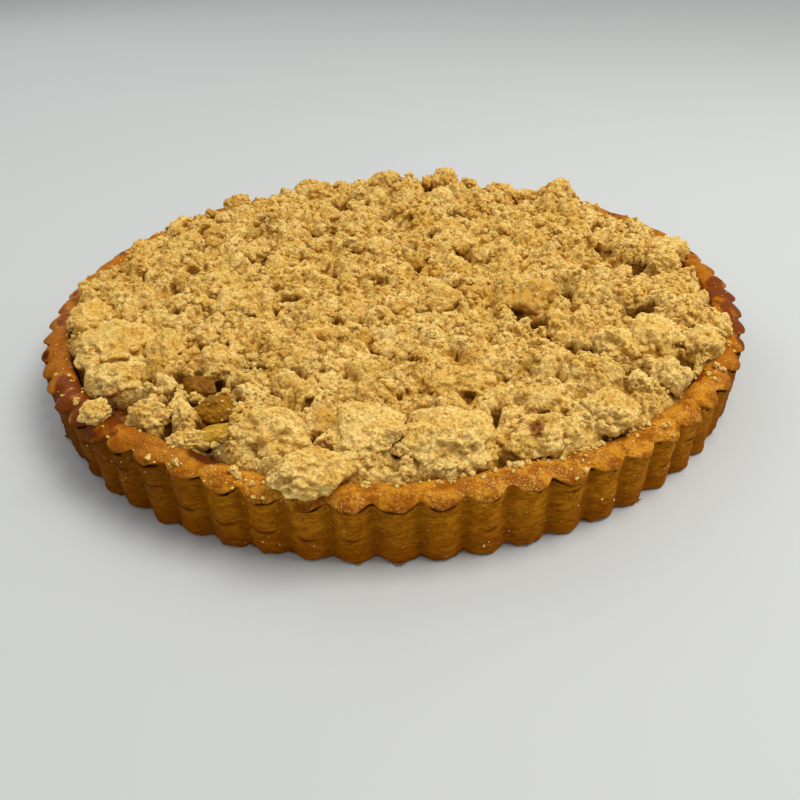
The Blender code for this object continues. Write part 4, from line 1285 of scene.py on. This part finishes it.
def crumbPiece(name, points, faces, values, replaced=()):
    values = {
        **values, "hollow": np.clip(paintedShadeAmount(points, near, wide), 0, 1), "jam": spotShare(points, heap["stains"]),
        "toast": values["toast"] + spotShare(points, heap["amber"]),
    }
    return newPiece(name, points, faces, crumb, replaced, values)


for part, (points, faces, pit) in beds.items():
    tone = softNoise(points, 4 * mm, 81)
    crumbPiece("crumb_bed_" + part, points, faces, {"tone": tone, "toast": 0 * tone, "pit": pit},
               ["crumb_topping"] if part == "front" else ())
crumbPiece("crumb_clumps", clumpPoints, clumpFaces, clumpValues)
for kind, (points, faces, values) in laid.items():
    crumbPiece("crumb_" + kind, points, faces, values)
    print(kind, "nuggets", len(faces), "faces")


# Loose clumps on the rim: node, place, length, width, height in mm, turn in degrees, seed
rimLumpRules = {"stand": 0.36, "sandiness": 0.5, "room": 0.6 * mm}  # the room is beyond the box of the solid
rimLumps = (
    ("rim_lump_front", (-0.18, -0.921), 21.8, 17, 10.6, 8, 40),
    ("rim_lump_left", (-0.694, -0.652), 10.2, 8.6, 7.2, 40, 41),
)
for name, share, length, width, height, turn, seed in rimLumps:
    x, y = place(share)
    atTurn = np.array([math.atan2(x, -y)])
    level = 6 if length > 20 else 5
    points, faces = lumpyBlob((length * mm, width * mm, height * mm), math.radians(turn), level, seed)
    middle = tart["rimHeight"] + float(rimRise(atTurn)[0]) + rimLumpRules["stand"] * height * mm
    normals = meshNormals(points, faces)
    points, pit = crumbRelief(points + np.array((x, y, middle)), normals, rimLumpRules["sandiness"], True)
    low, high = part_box(name)
    points = np.clip(points, np.array(low) - rimLumpRules["room"], np.array(high) + rimLumpRules["room"])
    values = {"tone": 0 * pit, "toast": 0 * pit, "hollow": 0 * pit, "pit": pit}
    newPiece(name + "_crumb", points, faces, crumb, [name], values)


# Filling and apple
filling = {"rings": 30, "steps": 200, "radius": 128.0 * mm, "footRadius": 126.4 * mm, "ripple": 0.35 * mm}


def makeFilling():
    steps, rings = filling["steps"], filling["rings"]
    turns = np.arange(steps) / steps * math.tau
    radius = np.linspace(0.01, 1, rings)[:, None] * filling["radius"]
    level = np.full((rings, steps), tart["fillingTop"])
    flat = np.stack([radius * np.sin(turns), -radius * np.cos(turns), level], -1)
    flat[..., 2] += filling["ripple"] * softNoise(flat, 7 * mm, 91) - 0.1 * mm
    wall = flat[-1:].copy()
    wall[..., :2] *= filling["footRadius"] / filling["radius"]
    wall[..., 2] = tart["floorThickness"] + 0.3 * mm
    points = np.concatenate([flat, wall])
    number = np.arange(points.shape[0] * steps).reshape(-1, steps)
    faces = ringQuads(number)[:, (0, 3, 2, 1)].tolist() + [number[0].tolist(), number[-1, ::-1].tolist()]
    return newPiece("apple_filling", points.reshape(-1, 3), faces, juiceFinish(), ["filling"])


makeFilling()

# Flesh, its darker edge, how granular it is
appleColours = (
    (linear(150, 100, 10), linear(98, 54, 3), 0.4),
    (linear(172, 122, 24), linear(122, 76, 8), 1.0),
    (linear(208, 166, 54), linear(164, 118, 20), 0.5),
)

# Faces cut by the knife: their direction and distance from the middle, in half sizes
appleCuts = (
    (((0.5, -0.35, 0.75), 0.62), ((-0.75, -0.4, 0.5), 0.72), ((0.8, 0.2, -0.1), 0.75)),
    (((0.15, -0.7, 0.7), 0.66), ((-0.85, 0.25, 0.5), 0.78), ((0.8, 0.1, 0.6), 0.85)),
    (((-0.45, 0.3, 0.85), 0.62), ((0.45, -0.75, 0.5), 0.74), ((-0.9, -0.3, 0.1), 0.78)),
)


appleShape = {"squareness": 3.2, "cut": 0.85, "waist": 0.16, "bumps": 0.9 * mm, "dimples": 0.4 * mm}


def appleChunk(number, length, width, height, turn, tilt):
    points, faces = balls[5]
    power = appleShape["squareness"]
    boxed = points / (np.abs(points) ** power).sum(1)[:, None] ** (1 / power)
    for aim, away in appleCuts[number]:
        aim = np.array(aim) / np.linalg.norm(aim)
        boxed = boxed - aim * np.maximum(boxed @ aim - away, 0)[:, None] * appleShape["cut"]
    points = boxed * np.array((length, width, height)) / 2 * mm
    shifted = points + 0.31 * number
    # thicker and thinner along its length
    wide = 1 + appleShape["waist"] * softNoise(shifted * (1, 0, 0), 6 * mm, 97)
    points = points * np.stack([1 + 0 * wide, wide, wide], -1)
    normals = meshNormals(points, faces)
    bumps = appleShape["bumps"] * softNoise(shifted, 6 * mm, 95)
    dimples = appleShape["dimples"] * softNoise(shifted, 2.2 * mm, 96)
    points = points + normals * (bumps + dimples)[:, None]
    turning = Matrix.Rotation(math.radians(turn), 3, "Z") @ Matrix.Rotation(math.radians(tilt), 3, "X")
    return points @ np.array(turning).T, faces


appleTrees = []
for number, (share, length, width, height, turn, tilt) in enumerate(apples):
    points, faces = appleChunk(number, length, width, height, turn, tilt)
    x, y = place(share)
    points = points + np.array((x, y, heap["base"] - points[:, 2].min()))
    appleTrees.append(BVHTree.FromPolygons(points.tolist(), faces.tolist()))
    name = f"apple_chunk_{number + 1}"
    newPiece(name + "_flesh", points, faces, appleFinish(name, *appleColours[number]), [name])
print("filling and apple made")


# Loose crumbs that fell on the rim and beside the apple, specks of sugar and flakes of pastry
loose = {
    # turn in degrees, share of the tart's radius, size in mm
    "onRim": (
        (-53.1, 0.959, 1.9), (15.7, 0.914, 2.2), (17.0, 0.923, 1.6), (25.4, 0.924, 2.3), (27.0, 0.93, 1.4),
        (28.9, 0.913, 2.0), (30.1, 0.925, 1.0), (24.5, 0.953, 0.9), (23.3, 0.983, 1.3), (21.6, 0.993, 0.9),
        (32.6, 0.937, 0.8), (-33.0, 0.985, 1.3), (-28.8, 0.974, 1.3), (-31.2, 0.937, 0.8), (-21.5, 0.944, 2.0),
        (-20.5, 0.958, 1.4), (-18.2, 0.969, 1.1), (-17.5, 0.99, 1.1), (-16.9, 0.961, 0.9), (-16.3, 0.99, 0.8),
        (-20.5, 0.983, 0.7), (-24.7, 0.915, 1.1), (37.9, 0.966, 1.4), (39.0, 0.967, 1.0), (38.1, 0.99, 1.0),
        (56.9, 0.95, 1.7), (56.5, 0.966, 1.3), (54.3, 0.945, 1.3), (53.6, 0.963, 1.2), (53.1, 0.922, 1.1),
        (47.3, 0.905, 1.5), (44.6, 0.903, 1.8), (42.4, 0.905, 1.3), (4.9, 0.94, 1.2), (6.8, 0.944, 0.9),
        (10.4, 0.948, 1.0), (2.6, 0.934, 0.8), (14.5, 0.92, 1.0), (19.5, 0.912, 0.8), (64.0, 0.958, 1.2),
        (63.2, 0.977, 1.0), (-34.9, 0.945, 0.6), (-6.8, 0.912, 1.0), (0.1, 0.922, 0.9), (-3.8, 0.918, 1.1),
        (12.2, 0.935, 1.2), (20.2, 0.916, 1.1), (29.8, 0.953, 0.7), (45.9, 0.978, 0.5), (-61.5, 0.94, 1.0),
    ),
    # beside the apple and between the front clumps: place in shares of the tart's radius, and size in mm
    "byApple": (
        ((-0.476, -0.612), 2.3), ((-0.455, -0.618), 1.7), ((-0.503, -0.606), 1.6), ((-0.425, -0.608), 1.9),
        ((-0.402, -0.606), 2.0), ((-0.385, -0.622), 1.7), ((-0.44, -0.6), 1.1), ((-0.372, -0.645), 1.5),
        ((-0.479, -0.742), 1.3), ((-0.51, -0.762), 1.7), ((-0.493, -0.785), 1.4), ((-0.4, -0.789), 1.6),
        ((-0.375, -0.784), 1.5), ((-0.367, -0.74), 1.6), ((-0.36, -0.7), 1.5), ((-0.515, -0.66), 1.3),
        ((-0.47, -0.667), 0.8), ((-0.4, -0.69), 0.7), ((-0.455, -0.645), 0.7), ((-0.43, -0.665), 0.5),
        ((-0.432, -0.553), 3.0), ((-0.418, -0.575), 2.6), ((-0.437, -0.583), 2.0), ((-0.508, -0.583), 2.4),
        ((-0.52, -0.56), 2.0), ((-0.365, -0.665), 2.3), ((-0.362, -0.72), 2.4), ((-0.372, -0.762), 2.0),
        ((0.006, -0.862), 3.0), ((-0.006, -0.842), 2.6), ((0.016, -0.884), 2.2), ((0.01, -0.835), 2.2),
        ((-0.4, -0.655), 0.7), ((-0.445, -0.675), 0.5), ((-0.415, -0.64), 0.6), ((-0.385, -0.67), 0.8),
    ),
    "strays": 70,
    # at the heap's foot: from and to which turn in degrees, how many, smallest and largest size in mm
    "foot": ((-20, 40, 70, 0.6, 1.8), (40, 90, 20, 0.5, 1.4), (-180, 180, 60, 0.5, 1.5)),
    "straySizes": (0.35, 1.0),
    "seed": 17,
    # sugar: turn in degrees and share of the radius
    "sugar": (
        (-26.2, 0.978), (-25.1, 0.982), (-27.1, 0.978), (-24.2, 0.986), (-24.4, 0.968), (-23.5, 0.96), (-22.6, 0.966),
        (-21.5, 0.972), (-20.5, 0.972), (-20.0, 0.961), (-18.5, 0.979), (-24.3, 0.952), (-23.3, 0.985), (-29.7, 0.98),
        (-28.3, 0.99), (-30.6, 0.986), (-32.0, 0.984), (-18.8, 0.99), (-16.0, 0.971), (-15.0, 0.979), (-13.5, 0.985),
        (-19.2, 0.962), (-19.8, 0.98), (-36.2, 0.977), (-34.6, 0.978), (-30.0, 0.962), (-28.0, 0.974), (-31.5, 0.956),
        (-21.4, 0.978), (24.2, 0.97), (21.5, 0.974), (20.5, 0.98), (20.0, 0.965), (24.0, 0.988), (31.1, 0.985),
        (17.5, 0.961), (14.5, 0.97), (9.3, 0.98), (3.5, 0.974), (-2.4, 0.966), (51.6, 0.967), (59.2, 0.966),
    ),
    "moreSugar": 80,
    "sugarSizes": (0.28, 0.75),
    # stuck on the wall: turn in degrees, height and size in mm
    "onWall": (
        (-10.8, 6.6, 0.5), (10.0, 4.4, 0.9), (10.6, 5.6, 0.5), (13.6, 5.8, 0.5), (-17.4, 5.9, 0.6), (-15.5, 4.4, 0.5),
        (26.2, 10.0, 0.8), (28.9, 6.0, 0.9), (22.8, 10.2, 0.6), (18.4, 7.0, 0.4), (39.5, 19.0, 0.8),
    ),
    # ragged flakes at the foot of the wall: turn in degrees, length and height in mm
    "flakes": (
        (-0.5, 4.2, 1.5), (-5.6, 2.4, 0.8), (-14.2, 2.8, 0.9), (-30.7, 3.4, 1.2), (-19.5, 2.2, 0.8), (33.5, 2.6, 1.0),
        (-62.0, 3.0, 1.1), (95.0, 2.8, 1.0), (170.0, 3.2, 1.1), (128.0, 2.4, 0.9), (-105.0, 2.6, 1.0),
        (-150.0, 3.0, 1.0),
    ),
}


def scatterPiece(name, shapes, spots, finish, relief=False):  # spots: place, size in metres along three axes
    rng = np.random.default_rng(loose["seed"] + len(spots))
    parts = []
    for x, y, z, size in spots:
        level = 2 + (size[0] > 1.15 * mm) + (size[0] > 2.0 * mm) if relief else 2
        points, faces = shapes[level][rng.integers(len(shapes[level]))]
        spin, lean = rng.uniform(0, math.tau), rng.uniform(-0.3, 0.3)
        turning = np.array(Matrix.Rotation(spin, 3, "Z") @ Matrix.Rotation(lean, 3, "X"))
        points = (points * np.array(size)) @ turning.T + np.array((x, y, z))
        pit = np.zeros(len(points))
        if relief:
            grit = packedGrains(points, 0.9 * mm, 85)
            points = points + meshNormals(points, faces) * (0.35 * mm * (grit - 0.6))[:, None]
            pit = 0.6 * pitShare(grit)
        parts.append((points, faces, {"pit": pit, "tone": rng.uniform(-1, 1), "toast": 0, "hollow": 0, "jam": 0}))
    points, faces, values = joined(parts)
    return newPiece(name, points, faces, finish, (), values)


def onTop(x, y):  # the height of what lies at this place, the rim's own where the rim is
    hits = [dropOn(tree, x, y) for tree in [crustTree] + appleTrees]
    top = float(heights.read(np.array([x]), np.array([y]))[0]) if math.hypot(x, y) < heap["mapReach"] else 0
    return max([top] + [hit.z for hit in hits if hit])


def looseSpots():
    rng = np.random.default_rng(loose["seed"])
    crumbs, sugar = [], []

    def onRim(turn, reach, size, flat, into):
        x, y = outward(math.radians(turn), reach * tart["radius"])
        wide, top = size * mm, onTop(x, y)
        if top > tart["fillingTop"] - 2 * mm:  # not beside the case, in a valley between two flutes
            sizes = (wide * rng.uniform(0.9, 1.2), wide * rng.uniform(0.8, 1.0), wide * flat)
            into.append((x, y, top + 0.35 * flat * wide, sizes))

    for turn, reach, size in loose["onRim"]:
        onRim(turn, reach, size, 0.75, crumbs)
    for number in range(loose["strays"]):
        size = biased(rng, *loose["straySizes"], 2)
        onRim(rng.uniform(-180, 180), rng.uniform(0.925, 0.985), size, 0.8, crumbs)
    for first, last, count, smallest, largest in loose["foot"]:
        for number in range(count):
            turn = rng.uniform(first, last)
            reach = edgeToward(math.radians(turn)) / tart["radius"] + rng.uniform(-0.012, 0.01)
            onRim(turn, reach, biased(rng, smallest, largest, 1.5), 0.8, crumbs)
    for share, size in loose["byApple"]:
        x, y = place(share)
        wide = size * mm
        crumbs.append((x, y, onTop(x, y) + 0.3 * wide, (wide * 1.1, wide * 0.9, wide * 0.85)))
    for turn, reach in loose["sugar"]:
        onRim(turn, reach, rng.uniform(*loose["sugarSizes"]), 0.45, sugar)
    for number in range(loose["moreSugar"]):
        onRim(rng.uniform(-180, 180), rng.uniform(0.93, 0.988), rng.uniform(*loose["sugarSizes"]) * 0.8, 0.45, sugar)
    for turn, height, size in loose["onWall"]:
        hit = wallAt(math.radians(turn), height * mm)
        sugar.append((hit.x, hit.y, hit.z, (size * mm, size * mm * 0.7, size * mm * 0.9)))
    return crumbs, sugar


flake = {"rows": 5, "columns": 9, "thickness": 0.25 * mm, "level": 0.8 * mm, "foot": 0.3 * mm, "sunk": 0.05 * mm}


def makeFlakes():  # thin curled scraps that stick out of the foot of the wall
    rng = np.random.default_rng(loose["seed"] + 5)
    across, along = flake["rows"], flake["columns"]
    parts = []
    for turn, length, high in loose["flakes"]:
        angle = math.radians(turn)
        out = np.array((math.sin(angle), -math.cos(angle), 0))
        side = np.array((math.cos(angle), math.sin(angle), 0))
        hit = wallAt(angle, flake["level"])
        foot = np.array((hit.x, hit.y, flake["foot"]))
        u = np.linspace(-0.5, 0.5, along)[None, :]
        v = np.linspace(0, 1, across)[:, None]
        torn = (1 - (2 * np.abs(u)) ** 2.5) * (1 + 0.35 * rng.normal(size=along))[None, :]
        reach = v * torn * 0.9 * high * mm + 0.12 * mm * rng.normal(size=(across, along))
        rise = v * torn * high * mm * 0.8
        sheet = foot + side * (u * length * mm * (1 - 0.15 * v))[..., None] + out * (reach - flake["sunk"])[..., None]
        sheet = sheet + np.array((0, 0, 1.0)) * np.maximum(rise, 0)[..., None]
        under = sheet - out * flake["thickness"]
        points = np.concatenate([sheet.reshape(-1, 3), under.reshape(-1, 3)])
        number = np.arange(across * along).reshape(across, along)
        quads = gridQuads(number)
        ring = np.concatenate([number[0], number[1:, -1], number[-1, -2::-1], number[-2:0:-1, 0]])
        after = np.roll(ring, -1)
        rimFaces = np.stack([ring, ring + number.size, after + number.size, after], -1)
        faces = np.concatenate([quads, quads[:, ::-1] + number.size, rimFaces])
        values = {"rimShare": 1.0, "valley": 0, "crack": 0, "caramel": 0, "burnt": 0, "edge": 0, "baked": 0}
        parts.append((points, faces, values))
    points, faces, values = joined(parts)
    return newPiece("foot_flakes", points, faces, crustPiece.data.materials[0], (), values, smooth=False)


makeFlakes()
crumbSpots, sugarSpots = looseSpots()
looseShapes = {level: [nuggetShape(level, 31.0 + 1.7 * number) for number in range(8)] for level in (2, 3, 4)}
sugarShapes = {2: [nuggetShape(1, 51.0 + 1.3 * number) for number in range(6)]}
scatterPiece("loose_crumbs", looseShapes, crumbSpots, crumb, True)
scatterPiece("sugar_specks", sugarShapes, sugarSpots, sugarFinish())
print("loose crumbs", len(crumbSpots), "sugar specks", len(sugarSpots))


# Floor, light and camera
def makeFloor():
    mesh = bpy.data.meshes.new("floor")
    mesh.from_pydata([(-4, -4, 0), (4, -4, 0), (4, 4, 0), (-4, 4, 0)], [], [(0, 1, 2, 3)])
    f = Finish("floor", {"Roughness": 0.7, "Specular IOR Level": 0.2})
    f.feed("Base Color", f.mix(f.clouds(0.4, 2), linear(184, 187, 185), linear(190, 192, 190)))
    mesh.materials.append(f.material)
    floor = bpy.data.objects.new("floor", mesh)
    bpy.context.scene.collection.objects.link(floor)


makeFloor()

sky = {"colour": (0.97, 0.97, 1.0, 1), "strength": 0.55}
lamps = (
    # name, place, aim, size in metres, watts, colour
    ("key", (0.44, -0.06, 0.95), (0, 0, 0.02), 0.6, 9.6, (1, 0.98, 0.94)),
    ("back", (-0.6, 0.8, 0.8), (0, 0, 0.02), 0.7, 3, (0.97, 0.98, 1)),
)
for name, spot, aim, size, watts, colour in lamps:
    light = bpy.data.lights.new(name, "AREA")
    light.size = size
    light.energy = watts
    light.color = colour
    lamp = bpy.data.objects.new(name, light)
    lamp.location = spot
    lamp.rotation_euler = (Vector(aim) - Vector(spot)).to_track_quat("-Z", "Y").to_euler()
    bpy.context.scene.collection.objects.link(lamp)
world = bpy.data.worlds.new("studio")
world.use_nodes = True
world.node_tree.nodes["Background"].inputs["Color"].default_value = sky["colour"]
world.node_tree.nodes["Background"].inputs["Strength"].default_value = sky["strength"]
bpy.context.scene.world = world
bpy.context.scene.view_settings.view_transform = "Standard"

view = {
    "place": Vector((0, -0.311206, 0.170926)),
    "yaw": 0.0058, "pitch": 0.5775, "roll": -0.0398,
    "focal": 808.6292, "frame": 800, "sensor": 36,
}
forward = Vector((
    math.sin(view["yaw"]) * math.cos(view["pitch"]), math.cos(view["yaw"]) * math.cos(view["pitch"]),
    -math.sin(view["pitch"]),
))
right = Vector((math.cos(view["yaw"]), -math.sin(view["yaw"]), 0))
up = right.cross(forward)
c, s = math.cos(view["roll"]), math.sin(view["roll"])
across, upward = right * c + up * s, up * c - right * s
cameraData = bpy.data.cameras.new("camera")
cameraData.sensor_width = view["sensor"]
cameraData.lens = view["sensor"] * view["focal"] / view["frame"]
cameraData.clip_start = 0.01
camera = bpy.data.objects.new("camera", cameraData)
turned = Matrix((across, upward, -forward)).transposed().to_4x4()
turned.translation = view["place"]
camera.matrix_world = turned
bpy.context.scene.collection.objects.link(camera)
bpy.context.scene.camera = camera

seen = [o.data for o in bpy.data.objects if o.type == "MESH" and not o.hide_render]
print("triangles in all", sum(len(face.vertices) - 2 for mesh in seen for face in mesh.polygons))
